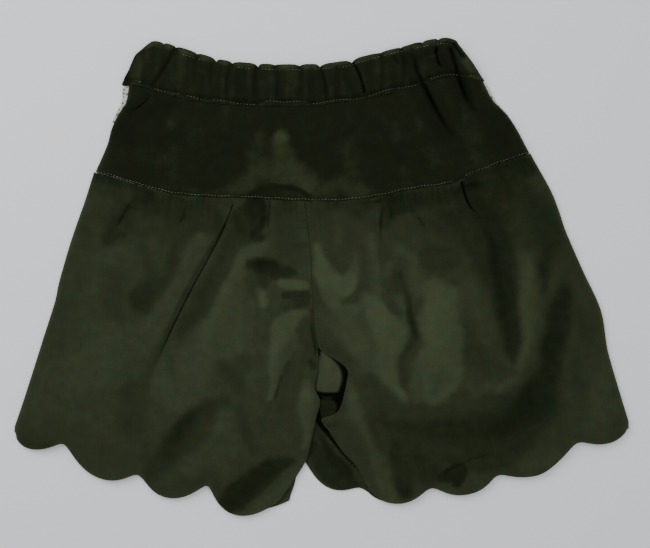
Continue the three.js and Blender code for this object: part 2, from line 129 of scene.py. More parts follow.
@dataclass(frozen=True)
class Beside:
    """Where places lie beside a path: which of them are near it, how far off and along it, and the side."""

    near: Array
    away: Array
    along: Array
    side: Array

    @classmethod
    def path(cls, points: Array, reach: float, x: Array, y: Array) -> Beside:
        """Measure the places within reach of a path.

        Args:
            points: the path's places, one row each.
            reach: how far from the path a place still counts.
            x: the places' x.
            y: the places' y.

        Returns:
            The near places' numbers with their distance, their share of the path and their side.
        """
        low, high = points.min(axis=0) - reach, points.max(axis=0) + reach
        near = np.flatnonzero((x > low[0]) & (x < high[0]) & (y > low[1]) & (y < high[1]))
        run = np.diff(points, axis=0)[None, :, :]
        off = np.column_stack([x[near], y[near]])[:, None, :] - points[None, :-1, :]
        share = np.clip((off * run).sum(axis=2) / (run**2).sum(axis=2), 0, 1)
        gap = off - share[:, :, None] * run
        square = (gap**2).sum(axis=2)
        step = square.argmin(axis=1) if near.size else np.zeros(0, dtype=int)
        pick = np.arange(near.size)
        side = run[0, step, 0] * gap[pick, step, 1] - run[0, step, 1] * gap[pick, step, 0]
        return cls(near, np.sqrt(square[pick, step]), (step + share[pick, step]) / run.shape[1], side)


@dataclass(frozen=True)
class Stroke:
    """A fold or a crease that runs along a path over the cloth and fades away from it.

    left and right are its half-widths on the two sides of the path's travel, amount is what it adds to
    the height on the path, and its painted shade is how much the shade in it darkens the pile there.
    fade_in and fade_out are the shares of its length over which it comes and goes. A keen stroke has a sharp spine.
    """

    path: Rows
    left: float
    right: float
    amount: float
    # painted shade: how much the stroke darkens the pile along its fold or crease
    painted_shade: float = 0.0
    fade_in: float = 0.3
    fade_out: float = 0.3
    keen: bool = False

    def share(self, x: Array, y: Array, keen: bool) -> Array:
        """Return how much of the stroke there is at each place, from 0 to 1."""
        reach = (KEEN_REACH if keen else SOFT_REACH) * max(self.left, self.right)
        beside = Beside.path(smooth_path(self.path), reach, x, y)
        away = beside.away / np.where(beside.side > 0, self.left, self.right)
        fall = np.exp(-away) if keen else np.exp(-(away**2))
        coming = ease(beside.along / self.fade_in) if self.fade_in else 1.0
        going = ease((1 - beside.along) / self.fade_out) if self.fade_out else 1.0
        share = np.zeros_like(x)
        share[beside.near] = fall * coming * going
        return share


def raised(strokes: tuple[Stroke, ...], x: Array, y: Array) -> Array:
    """Return what the strokes add to the height at each place."""
    return sum((s.amount * s.share(x, y, s.keen) for s in strokes), np.zeros_like(x))


def painted_crease_shade(strokes: tuple[Stroke, ...], x: Array, y: Array) -> Array:
    """Return how much the strokes' painted shade darkens the pile at each place."""
    return sum((s.painted_shade * s.share(x, y, keen=False) for s in strokes if s.painted_shade), np.zeros_like(x))


def fold(width: float | tuple[float, float], height: float, *path: tuple[float, float], **fades: float) -> Stroke:
    """Return a soft fold: a ridge, or with a height below zero a hollow."""
    left, right = width if isinstance(width, tuple) else (width, width)
    return Stroke(path, left, right, height, **fades)


def crease(width: float, depth: float, painted_shade: float, *path: tuple[float, float], **fades: float) -> Stroke:
    """Return a sharp narrow line that is pressed into the cloth, with the painted shade in it."""
    return Stroke(path, width, width, -depth, painted_shade, keen=True, **fades)


@dataclass(frozen=True)
class NapAndShadePatch:
    """A patch of the pile's tone that covers what is under it. The patches stand for pile that lies another way and
    for painted light and shade.

    tone is from -1, dark, to 1, light, and -2 is black, which is painted shadow. soft is the width of the patch's
    edge, and each row of its spine is a place and the patch's half-width there, (x, y, half-width).
    """

    tone: float
    soft: float
    spine: Rows

    def over(self, tone: Array, x: Array, y: Array) -> Array:
        """Return the tones with this patch brushed over them."""
        rows = smooth_path(self.spine)
        beside = Beside.path(rows[:, :2], rows[:, 2].max() + self.soft, x, y)
        width = np.interp(beside.along, np.linspace(0, 1, len(rows)), rows[:, 2])
        cover = ease(0.5 + (width - beside.away) / (2 * self.soft))
        tone = tone.copy()
        tone[beside.near] = mix(tone[beside.near], self.tone, cover)
        return tone


def patches(*rows: tuple) -> tuple[NapAndShadePatch, ...]:
    """Return the patches of a table, each row its tone, its softness and then its spine."""
    return tuple(NapAndShadePatch(tone, soft, tuple(spine)) for tone, soft, *spine in rows)


@dataclass(frozen=True)
class Sway:
    """Waves of many lengths that make the soft patches' edges uneven."""

    waves: int = 9
    turn: float = 2.4  # from one wave's direction to the next, in radians
    slowest: float = 0.10
    quicker: float = 1.42  # how much quicker each wave is than the one before it
    amount: float = 0.16
    decay: float = 0.8  # how fast the quicker waves get smaller
    shift_x: float = 1.7
    shift_y: float = 1.3

    def places(self, x: Array, y: Array) -> Places:
        """Return the places swayed a little."""
        sway_x, sway_y = np.zeros_like(x), np.zeros_like(x)
        for i in range(self.waves):
            turn, pace = self.turn * i, self.slowest * self.quicker**i
            phase = pace * (x * math.cos(turn) + y * math.sin(turn)) + self.shift_x * i * i
            sway_x += self.amount / pace**self.decay * np.sin(phase)
            sway_y += self.amount / pace**self.decay * np.cos(phase + self.shift_y * i)
        return x + sway_x, y + sway_y


@dataclass(frozen=True)
class Pattern:
    """The garment's edges as it lies: across it the height at each x, down it the place at each y."""

    waist_top: Outline = Outline((
        (-133, 171), (-124.5, 175.4), (-109, 171.9), (-91, 166.3), (-73, 161.3), (-45, 158.6), (-16, 158.1),
        (10, 159.6), (35, 165), (59, 171), (76, 175.5), (92, 178), (100, 176.5),
    ))
    waist_seam: Outline = Outline((
        (-149, 143), (-136, 142), (-124, 138), (-100, 132), (-70, 128), (-40, 127), (-7, 127), (14, 130),
        (36, 133), (60, 139), (83, 146), (100, 149), (122, 146),
    ))
    yoke_seam: Outline = Outline((
        (-170, 78), (-156, 74.5), (-139, 69), (-112, 62), (-85, 59.5), (-55, 58.5), (-13, 56.5), (16, 56.5),
        (43, 60), (66, 65), (96, 69.5), (114, 77), (137, 86), (156, 92),
    ))
    side_left: Outline = Outline((
        (143, -143.5), (130, -145.8), (125, -149), (118, -153.2), (109, -157), (101, -159), (95, -161.3),
        (78, -168.7), (57, -176.3), (27, -187), (-5, -196.3), (-18, -199), (-48, -208.5), (-78, -217.9),
        (-112, -228.6),
    ))
    side_right: Outline = Outline((
        (146, 120.3), (132, 127.5), (121, 138), (110, 145.6), (92, 155.3), (65, 170.8), (50, 177), (35, 182),
        (5, 195), (-25, 208.6), (-55, 213.8), (-78, 220.2), (-108, 229),
    ))
    band_left: Outline = Outline((
        (171, -133), (168, -136), (164, -138.8), (158, -141.5), (153, -143.6), (148, -146.4), (143, -149),
    ))
    band_right: Outline = Outline((
        (177, 100.6), (172, 102.8), (165, 107.9), (158, 113), (152, 116.8), (146, 121),
    ))
    back_inner_left: Outline = Outline((
        (58, -13), (35, -10), (12, -8), (-33, -5.5), (-56, -2.5), (-71, -3), (-83, -5), (-93, -1),
        (-104, -3.5), (-115, -6), (-136, -11), (-152, -20.5), (-167, -30.5),
    ))
    back_inner_right: Outline = Outline((
        (58, -13), (35, -10), (12, -8), (-33, -5.5), (-52, -3), (-57, 2), (-63, 11), (-70, 18),
        (-78, 17.6), (-88, 15.5), (-98, 12.6), (-103, 8), (-105.5, 0), (-108, -1.5), (-115, 4), (-130, 14),
        (-142, 25), (-156, 32.5),
    ))
    front_inner_left: Outline = Outline(((58, -13), (-56, -10), (-134, -16.5), (-154, -19.8), (-166, -23.8)))
    front_inner_right: Outline = Outline(((58, -12), (-56, -9), (-134, -15)))
    casing_stitches: Outline = Outline((
        (-144, 146.5), (-134, 144.8), (-124, 139.8), (-108, 136.1), (-96, 133.9), (-87, 131.6), (-77, 131.4),
        (-62, 129), (-49, 128.3), (-40, 130.6), (-28, 129.9), (-14, 130.4), (-6, 128.8), (5, 130.6), (14, 131.8),
        (27, 132.4), (36, 134.6), (51, 139.5), (61, 140.8), (70, 142.8), (83, 147.8), (96, 150.6), (107, 150),
        (119, 149.6),
    ))
    header_stitches: Outline = Outline((
        (-128, 168.5), (-122, 170.2), (-102, 164.8), (-87, 160.7), (-60, 155.4), (-39, 154.1), (-19, 153.8),
        (1, 154.6), (20, 156.8), (32, 160.6), (48, 164.8), (57, 167.2), (75, 171), (90, 173.6), (99, 172.4),
    ))


@dataclass(frozen=True)
class Scallops:
    """A scalloped hem, with a row (x, y, drop, lean, fullness) for each cusp.

    drop is how far the next scallop hangs, with a lean above 1 its lowest place is nearer its far end, and a
    fullness of 2 is a parabola, with more of it squarer.
    """

    cusps: Rows
    rounding: float = 4.2  # how far the cloth rounds each cusp
    taps: int = 9  # places over which that rounding is averaged
    spread: float = 1.6  # how many roundings they reach to each side
    end_run: float = 3.0  # how far from its ends the hem reaches its full hang

    def spans(self) -> tuple[Array, Array, Array, float]:
        """Return the cusps' places, their drops and leans, their shares of the hem's length, and that length."""
        table = np.array(self.cusps)
        run = np.concatenate([[0], np.cumsum(np.hypot(*np.diff(table[:, :2], axis=0).T))])
        return table[:, :2], table[:, 2:], run / run[-1], float(run[-1])

    def line(self, u: Array) -> Places:
        """Return the places on the straight line from cusp to cusp at the shares u."""
        places, _, shares, _ = self.spans()
        return np.interp(u, shares, places[:, 0]), np.interp(u, shares, places[:, 1])

    def hang(self, u: Array) -> Places:
        """Return how far the cloth hangs past that line, in x and in y, with its cusps rounded."""
        places, hangs, shares, length = self.spans()
        dx, dy = np.zeros_like(u), np.zeros_like(u)
        taps = np.linspace(-self.spread, self.spread, self.taps)
        weights = bell(taps, 1.0) / bell(taps, 1.0).sum()
        for tap, weight in zip(taps, weights):
            at = np.clip(u + tap * self.rounding / length, 0, 1)
            i = np.clip(np.searchsorted(shares, at, side="right") - 1, 0, len(shares) - 2)
            t = (at - shares[i]) / (shares[i + 1] - shares[i])
            run = places[i + 1] - places[i]
            run /= np.hypot(run[:, 0], run[:, 1])[:, None]
            drop = hangs[i, 0] * (1 - np.abs(2 * t ** hangs[i, 1] - 1) ** hangs[i, 2]) * weight
            dx, dy = dx + run[:, 1] * drop, dy - run[:, 0] * drop
        ends = ease(np.minimum(u, 1 - u) * length / self.end_run)
        return dx * ends, dy * ends

    def shares(self) -> Array:
        """Return the cusps' shares of the hem's length."""
        return self.spans()[2]


@dataclass(frozen=True)
class Hems:
    """The hems of the four leg panels."""

    back_left: Scallops = Scallops((
        (-229.5, -116, 10.3, 0.70, 2.1), (-192.5, -123.4, 15.8, 1.2, 2.2), (-135.5, -145.3, 16.7, 0.9, 2.1),
        (-84, -153.2, 19.3, 0.88, 2.05), (-30.5, -167, 0, 1, 2),
    ))
    back_right: Scallops = Scallops((
        (33, -155, 14.3, 0.93, 2.3), (81.5, -156, 11.9, 1.06, 2.3), (131, -146.5, 13.3, 0.90, 1.6),
        (190, -123, 7.5, 1.3, 2.2), (229.5, -113, 0, 1, 2),
    ))
    front_left: Scallops = Scallops((
        (-228.5, -115, 8.8, 0.70, 2.1), (-193, -124, 13.0, 1.09, 2.3), (-136.3, -146, 14.3, 0.82, 2.1),
        (-84, -154, 13.0, 1, 2.1), (-24, -167.5, 0, 1, 2),
    ))
    front_right: Scallops = Scallops((
        (-14, -136, 12.6, 1.15, 2.0), (31, -156, 12.6, 0.85, 2.3), (81.5, -157, 10.0, 1.09, 2.4),
        (131, -147.5, 11.5, 0.97, 1.65), (191, -124, 7.0, 1.4, 2.4), (228.5, -112, 0, 1, 2),
    ))


@dataclass(frozen=True)
class Layers:
    """How thick the cloth is and how its layers lie on each other."""

    cloth: float = 1.6
    casing: float = 3.6
    casing_edge: float = 2.4
    casing_swell: float = 5.0  # it is at its full thickness from one part in this many of its depth
    facing: float = 1.0
    sewn_gap: float = 0.12
    facing_gap: float = 0.3
    layer_gap: float = 0.4
    lift_from: float = 84.0  # heights y between which the yoke climbs over the pocket facings
    lift_to: float = 112.0
    reach: float = 16.0  # how far in from a side the cloth takes to rise to its full loft
    loft: Outline = Outline((
        (-180, 0.6), (-150, 1.4), (-110, 2.6), (-60, 3.4), (0, 3.2), (45, 2.2), (62, 1.6), (95, 1.2),
        (125, 1.0), (180, 0.6),
    ))

    def rise(self, distance: Array) -> Array:
        """Return the share of its loft that the cloth has at a distance from a side."""
        return 1 - np.exp(-((np.maximum(distance, 0) / self.reach) ** 2))

    def climb(self, y: Array) -> Array:
        """Return how far the yoke has climbed over the facings at a height y."""
        return (self.facing + self.facing_gap) * ease((y - self.lift_from) / (self.lift_to - self.lift_from))

    def casing_wall(self, v: Array) -> Array:
        """Return the casing's thickness at the share v of its depth."""
        return mix(self.casing_edge, self.casing, ease(np.minimum(v, 1 - v) * self.casing_swell))


@dataclass(frozen=True)
class Folds:
    """The folds and creases that the cloth lies in, each with its sizes and then its path."""

    soft: tuple[Stroke, ...] = (
        # left leg, with the knife pleat and the hollow beside it first
        fold((2.5, 13), 1.6, (-63, 55), (-91, 11), (-115, -36), (-140, -104), fade_in=0.05, fade_out=0.6),
        fold(9, -1.2, (-57, 46), (-80, -3), (-99, -40), fade_in=0.2, fade_out=0.5),
        fold(6, -1.4, (-142, 54), (-152, 39), (-161, 25), fade_in=0.1, fade_out=0.5),
        fold(11, -1.4, (-117, 5), (-136, -20), fade_in=0.4, fade_out=0.4),
        fold(10, -1.8, (-136, -55), (-142, -108), fade_in=0.4, fade_out=0.4),
        fold(9, -2.0, (-76, -92), (-99, -113), (-121, -137), fade_in=0.4, fade_out=0.2),
        fold(11, 2.0, (-54, -93), (-80, -130), (-99, -160), fade_in=0.4, fade_out=0.2),
        fold(10, -2.2, (-22, -138), (-45, -148), (-70, -164)),
        fold(5, -1.8, (-14, -34), (-22, -63), (-30, -96), fade_out=0.5),
        fold(6, 1.6, (-26, -36), (-34, -60), (-40, -92), fade_in=0.4, fade_out=0.5),
        fold(6, -1.8, (-50, 10), (-26, 5), fade_in=0.4, fade_out=0.4),
        fold(9, 1.8, (-61, 20), (-72, -25), (-87, -70), fade_out=0.5),
        fold(7, 2.0, (-12, -84), (-14, -128)),
        # right leg
        fold(4, -1.4, (41, 57), (43, 21), fade_in=0.05, fade_out=0.5),
        fold((6, 5), -2.2, (57, 12), (60, -8), (67, -28), (70, -45), (63, -62), (62, -80), fade_in=0.2,
             fade_out=0.4),
        fold(14, 2.0, (34, -18), (44, -45), (48, -76), fade_in=0.4, fade_out=0.4),
        fold(14, 2.6, (84, 2), (90, -33), (86, -82), fade_in=0.4, fade_out=0.4),
        fold((9, 7), -3.0, (108, 70), (115, 50), (130, 30), (135, 5), (141, -36), (142, -59), fade_in=0.05),
        fold(8, 2.6, (149, 46), (155, -3), (156, -45), (140, -80), (106, -92)),
        fold(13, -2.2, (180, -6), (173, -50), (157, -92), (120, -119), (51, -117)),
        fold(7, 2.6, (22, -86), (30, -112), (42, -141), (52, -160), fade_in=0.1, fade_out=0.4),
        fold(9, -1.6, (38, -93), (52, -128), (66, -153), fade_in=0.4),
        # yoke and waistband
        fold(10, 1.4, (-31, 106), (-29, 82), fade_in=0.4, fade_out=0.4),
        fold(4, -1.2, (-50, 66), (-32, 69), (-10, 61)),
        fold(5, -2.6, (69, 174), (74, 144), (87, 121), (101, 99), fade_in=0.02, fade_out=0.4),
        fold(6, 2.4, (83, 166), (96, 132), (113, 102), fade_in=0.05, fade_out=0.5),
        fold((5, 4), -2.4, (94, 176), (104, 147), (108, 132), (119, 110), fade_in=0.02, fade_out=0.4),
        fold(4, -1.4, (-127, 136), (-135, 126), (-145, 119), fade_in=0.1, fade_out=0.2),
    )
    creases: tuple[Stroke, ...] = (
        crease(0.6, 1.0, 1.25, (-64.8, 56.5), (-72.3, 37.4), (-82.2, 17.4), (-97.2, -10.1), (-109.6, -35.1),
               (-119.8, -57.6), (-125.3, -71), fade_in=0.04, fade_out=0.25),
        crease(0.8, 1.6, 1.7, (104.5, 71), (106.5, 63), (109.5, 55), (114, 49), (120, 45), fade_in=0.03,
               fade_out=0.6),
        crease(1.6, 2.2, 1.5, (69.3, 166), (70.0, 159), (71.8, 151), (77, 142), (82.5, 131), (89.5, 118.4),
               (96.6, 104), (101.5, 96.5), fade_in=0.15, fade_out=0.6),
        crease(1.6, 2.0, 1.7, (95, 173), (97.5, 165), (100, 157), (102.5, 147), (105.8, 138), (109.5, 130.5),
               (114, 122), fade_in=0.1, fade_out=0.5),
        crease(0.8, 1.0, 1.2, (-127, 137), (-131, 131), (-136, 127), (-145, 121), fade_in=0.3, fade_out=0.5),
        crease(0.8, 0.6, 0.7, (-38.5, 57), (-39, 46), (-40, 33), fade_in=0.02),
        crease(1.0, 0.5, 0.7, (-142, 56), (-148, 46), (-153, 36)),
        crease(1.0, 0.5, 0.6, (-102, 54), (-103, 45), (-107, 38)),
        crease(1.1, 0.9, 0.9, (46, 56), (44.5, 44), (44, 32), (43, 18), fade_in=0.3, fade_out=0.6),
        crease(0.8, 0.5, 0.5, (51, 54), (52, 46), (51, 41)),
        crease(0.8, 0.5, 0.6, (70, 46), (75, 40), (78, 36)),
        crease(0.9, 0.8, 1.0, (-29.5, -72), (-32, -82), (-36, -96), fade_in=0.2, fade_out=0.4),
        crease(0.8, 0.5, 0.7, (-8.5, -30), (-7, -42), (-5, -52), (-3, -58), fade_in=0.4, fade_out=0.1),
        crease(0.9, 0.4, 0.45, (82, -150), (94, -145), (108, -138), (120, -134), (140, -131), fade_in=0.3,
               fade_out=0.6),
        crease(1.2, 0.4, 0.5, (0, -108), (6, -111.5), (14, -110.5), fade_in=0.1, fade_out=0.4),
    )
    gathers: tuple[Stroke, ...] = (
        # upright creases of the gathered waistband
        crease(1.4, 1.2, 0.8, (-108, 172), (-118, 153), (-129, 138), fade_in=0.1),
        crease(1.8, 1.0, 0.3, (-93, 166), (-94, 150), (-92, 133), fade_in=0.1, fade_out=0.6),
        crease(2.0, 0.9, 0.25, (-79, 163), (-82, 147), (-80, 130), fade_in=0.1, fade_out=0.6),
        crease(1.8, 0.9, 0.3, (-67, 160), (-70, 145), (-71, 129), fade_in=0.1),
        crease(1.8, 1.1, 0.35, (-47.5, 159), (-49, 143), (-48, 128), fade_in=0.1),
        crease(1.8, 1.0, 0.3, (-35, 158), (-32, 143), (-34, 128), fade_in=0.1),
        crease(1.8, 1.1, 0.35, (-16, 158), (-15, 143), (-17, 128), fade_in=0.1),
        crease(1.0, 1.6, 1.0, (-1, 157), (2, 147), (3.5, 138), (4, 129), fade_in=0.1),
        crease(1.8, 0.8, 0.25, (12, 159), (13, 146), (11, 130), fade_in=0.1),
        crease(1.0, 2.0, 2.0, (23, 160), (27, 153), (30, 145), (32.5, 135), fade_in=0.08, fade_out=0.1),
        crease(1.8, 0.8, 0.25, (44, 166), (46, 152), (44, 136), fade_in=0.1),
        crease(1.2, 1.0, 1.0, (53, 165), (56, 160), (58, 156), fade_in=0.2, fade_out=0.4),
        crease(1.6, 1.0, 0.35, (59, 171), (62, 157), (61, 141), fade_in=0.1),
        crease(1.1, 1.6, 1.8, (85.5, 172), (85.5, 164), (87, 158), (91, 154), fade_in=0.1),
        crease(1.2, 1.2, 1.5, (97, 175), (102, 168), (108, 161), fade_in=0.1),
    )
    # lips of the cloth round the parted inside legs, raised clear of the front
    lips: tuple[Stroke, ...] = (
        fold(4, 1.1, (20, -69), (18, -82), (13, -98), (6, -106), (0, -108), fade_in=0.2, fade_out=0.1),
        fold(3.5, 1.0, (0, -109), (14, -130), (30, -148), fade_in=0.1, fade_out=0.4),
        fold(4, 0.8, (-4, -84), (-5, -100), (-8, -118), (-12, -136), fade_in=0.3, fade_out=0.2),
    )
    front_bulges: tuple[Stroke, ...] = (
        fold(5.5, 1.2, (5, -65), (6, -79), fade_in=0, fade_out=0),
        fold(4.0, 0.5, (4, -95), (6, -99), fade_in=0, fade_out=0),
    )


@dataclass(frozen=True)
class NapAndShade:
    """Where the pile is brushed lighter or darker, and where light and shade are painted on it: tone, softness and
    spine of each patch, one over another.
    """

    # every table below is partly pile that lies another way and partly painted light and shade: painted shade in the
    # folds' troughs and along the seams, painted light on their ridges
    left_leg: tuple[NapAndShadePatch, ...] = patches(
        # along the yoke seam and down the outer edge
        (-0.45, 9, (-168, 66, 4), (-140, 57, 9), (-112, 53, 9), (-85, 50, 7)),
        (-0.36, 9, (-166, 46, 8), (-140, 38, 12), (-116, 32, 10)),
        (-0.62, 7, (-108, 44, 6), (-92, 38, 9), (-76, 42, 7)),
        (-0.12, 8, (-176, 20, 10), (-186, -10, 10), (-198, -50, 9)),
        (-0.74, 3.8, (-139, 58, 3), (-141.5, 50, 5), (-147.5, 40, 6.5), (-158, 27, 6.5)),
        (-0.62, 3, (-166, 74, 3), (-150, 70, 3.5), (-130, 64, 3.5)),
        (-0.22, 6, (-220, -116, 6), (-206, -121, 7)),
        (-0.40, 5, (-176, 36, 5), (-174, 30, 4)),
        (-0.60, 5, (-133, 57, 6), (-128, 50, 5)),
        (-0.55, 5, (-112, 57, 6), (-112, 48, 6)),
        (-0.45, 5, (-91, 56, 4), (-90, 46, 5), (-85, 36, 4)),
        (-0.50, 5, (-99, 40, 6), (-105, 26, 6), (-110, 8, 6), (-118, -8, 6)),
        (-0.35, 4, (-82, 55, 3), (-70, 54, 3)),
        (0.10, 5, (-127, 26, 5), (-128, 18, 4)),
        (-0.30, 5, (-133, 20, 4), (-127, 6, 5)),
        (0.12, 5, (-160, 12, 4), (-144, 5, 4)),
        # outer half
        (0.26, 9, (-180, -70, 14), (-160, -62, 18), (-150, -48, 12)),
        (-0.22, 6, (-153, 0, 8), (-154, -22, 9), (-148, -32, 5)),
        (-0.50, 5, (-115, -2, 4), (-124, -8, 8), (-134, -17, 10)),
        (-0.72, 4, (-131, -15, 7), (-137, -18, 7)),
        (0.18, 3.5, (-91, 28, 3), (-94, 16, 5.5), (-100, 2, 5.5), (-107.5, -13, 6.5), (-117, -28, 8), (-130, -42, 11),
         (-141, -54, 12)),
        (-0.22, 5, (-127, -72, 2), (-133, -80, 7), (-141, -92, 10), (-142, -112, 10)),
        (-0.36, 6, (-140, -92, 6), (-142, -106, 6)),
        (0.34, 5, (-119, -66, 4), (-116, -82, 8), (-108, -94, 8), (-98, -86, 11), (-98, -66, 11)),
        (-0.08, 8, (-200, -112, 10), (-170, -132, 12), (-146, -138, 10)),
        (-0.26, 6, (-131, -124, 4), (-132, -136, 5)),
        # between the pleat and the inside leg
        (-0.46, 4.5, (-62, 44, 5), (-67, 30, 7), (-74, 10, 7), (-80.5, -4, 9), (-88, -20, 9.5), (-98, -34, 7.5),
         (-104, -44, 4)),
        (-0.52, 4.5, (-88, -8, 4), (-96, -26, 4.5), (-101, -38, 4)),
        (0.42, 8, (-66, -10, 5), (-70, -28, 10), (-78, -48, 15), (-86, -62, 13)),
        (0.46, 3.5, (-40, 22, 3.5), (-46, 18, 5), (-57, 14, 5.5), (-61, 4, 7), (-64.5, -10, 9), (-70, -25, 10),
         (-80, -38, 8)),
        (0.50, 6, (-62, -40, 8), (-58, -52, 8)),
        (0.18, 2.5, (-60, 58, 1.5), (-66, 49, 2), (-72, 40, 1.5)),
        (-0.78, 3.0, (-48, 54, 7), (-54, 46, 8), (-56, 37, 8), (-52, 31, 5), (-43, 28, 3)),
        (-1.05, 2.5, (-52, 57, 3), (-44, 53, 3.5), (-44, 42, 3.5), (-49, 34, 4)),
        (-0.45, 3, (-59, 47, 3), (-60, 44, 3)),
        (-0.22, 6, (-30, 50, 8), (-28, 34, 10), (-24, 18, 8)),
        (-0.40, 3, (-27, 54, 4), (-23, 51, 4)),
        (-0.25, 3, (-8, 40, 3), (-7, 20, 3)),
        (-0.45, 1.2, (-19, 47, 0.5), (-10, 48, 0.6)),
        (-0.40, 1.2, (-18, 41.5, 0.4), (-10, 42, 0.6)),
        (-0.45, 1.2, (-18, 36, 0.5), (-10, 36.5, 0.5)),
        (-0.40, 1.8, (-22, 23, 1.5), (-13, 24, 1.5)),
        (-0.78, 3, (-52, 10, 4), (-44, 6, 7), (-33, 4, 6.5), (-22, 2, 3)),
        (-0.60, 3, (-45, -2, 3), (-41, -6, 2.5)),
        (-1.05, 2.5, (-47, 10, 3.5), (-40, 7, 4.5), (-33, 4, 3)),
        (-0.12, 5, (-50, -4, 6), (-47, -8, 4)),
        (-0.50, 3, (-43, -3, 3), (-42, -5, 2)),
        (0.85, 1.6, (-30, -5, 3), (-22, -6, 3.8), (-12.5, -6.5, 3.2)),
        (-0.62, 1.3, (-27, -14, 2.8), (-12, -14.5, 4)),
        (-0.50, 1.6, (-20, -20, 4), (-12, -19, 4)),
        (-0.30, 3, (-28, -24, 3), (-24, -22, 3)),
        (0.90, 2.4, (-44, -13, 3.2), (-43, -20, 2.8)),
        (0.30, 4, (-54, -20, 4), (-53, -50, 4), (-50, -80, 4)),
        (-0.12, 4, (-12, -36, 4), (-14, -52, 6), (-20, -66, 7), (-24, -80, 6), (-28, -94, 5), (-32, -108, 4)),
        (-0.60, 2, (-7.5, -24, 1.2), (-6.5, -40, 1.8), (-5, -52, 2), (-4, -60, 1.5)),
        (0.72, 2.2, (-12, -26, 1.5), (-20, -31, 4), (-26.5, -37, 8), (-28, -44, 8.5), (-31, -56, 6.5), (-34, -68, 5),
         (-36, -80, 4), (-39, -92, 2)),
        (0.10, 3, (-45, -36, 3.5), (-44, -60, 3.5), (-43, -82, 3.5), (-46, -100, 3.5)),
        (-0.26, 5.5, (-76, -66, 5), (-67, -73, 7), (-60, -80, 4)),
        (-0.10, 5, (-58, -62, 6), (-55, -68, 5)),
        (-0.15, 4, (-37, -100, 2), (-42, -112, 3), (-46, -127, 2)),
        (-0.10, 4, (-23, -88, 3), (-23, -105, 3), (-22, -126, 3)),
        (0.60, 3.0, (-11, -80, 3), (-12, -92, 5), (-12.5, -108, 4), (-14, -126, 2.5)),
        (0.85, 3.0, (-12, -84, 2), (-12, -92, 2)),
        (-0.62, 1.6, (-8, -63, 2), (-6, -67, 3)),
        # towards the hem
        (-0.50, 5, (-72, -93, 3), (-84, -101, 7), (-93, -112, 9), (-104, -123, 11), (-115, -134, 9), (-124, -143, 6),
         (-129, -152, 3)),
        (-0.78, 5, (-96, -108, 4), (-106, -120, 6), (-112, -132, 6)),
        (0.30, 6, (-66, -118, 6), (-70, -130, 9), (-76, -140, 7)),
        (0.22, 4.5, (-76, -99, 2.5), (-74, -112, 4)),
        (-0.22, 4, (-60, -96, 4.5), (-58, -110, 4.5), (-52, -123, 3), (-47, -131, 2)),
        (-0.12, 7, (-118, -156, 6), (-104, -158, 7), (-94, -152, 5)),
        (-0.30, 3, (-80, -154, 2), (-77, -161, 2)),
        (-0.86, 3, (-22, -138, 2), (-34, -141.5, 6.5), (-44, -149.5, 10), (-56, -158, 11), (-68, -165.5, 9),
         (-72, -171, 6)),
        (-1.08, 5, (-36, -146, 3), (-47, -152, 6), (-58, -160, 6), (-67, -166, 5)),
        (0.30, 2.4, (-14, -139, 1.5), (-20, -150, 2.6), (-29, -161, 3), (-40, -170.5, 3), (-54, -177.5, 2)),
        # small shades along the seam, the pleat and the corner of the hem
        (-0.76, 5, (-128, 60, 5), (-124, 53, 4)),
        (-0.62, 3.5, (-62, 44, 3), (-57, 42, 3)),
        (-0.62, 3.5, (-60, 28, 3), (-55, 27, 3)),
        (-0.18, 6, (-123, 14, 4), (-120, 4, 4)),
        (-0.20, 4, (-92, -5, 2.5), (-108, -35, 3.5), (-121, -54, 3.5), (-129, -67, 2)),
        (-0.48, 4, (-220, -126, 3.5), (-205, -125, 3)),
    )
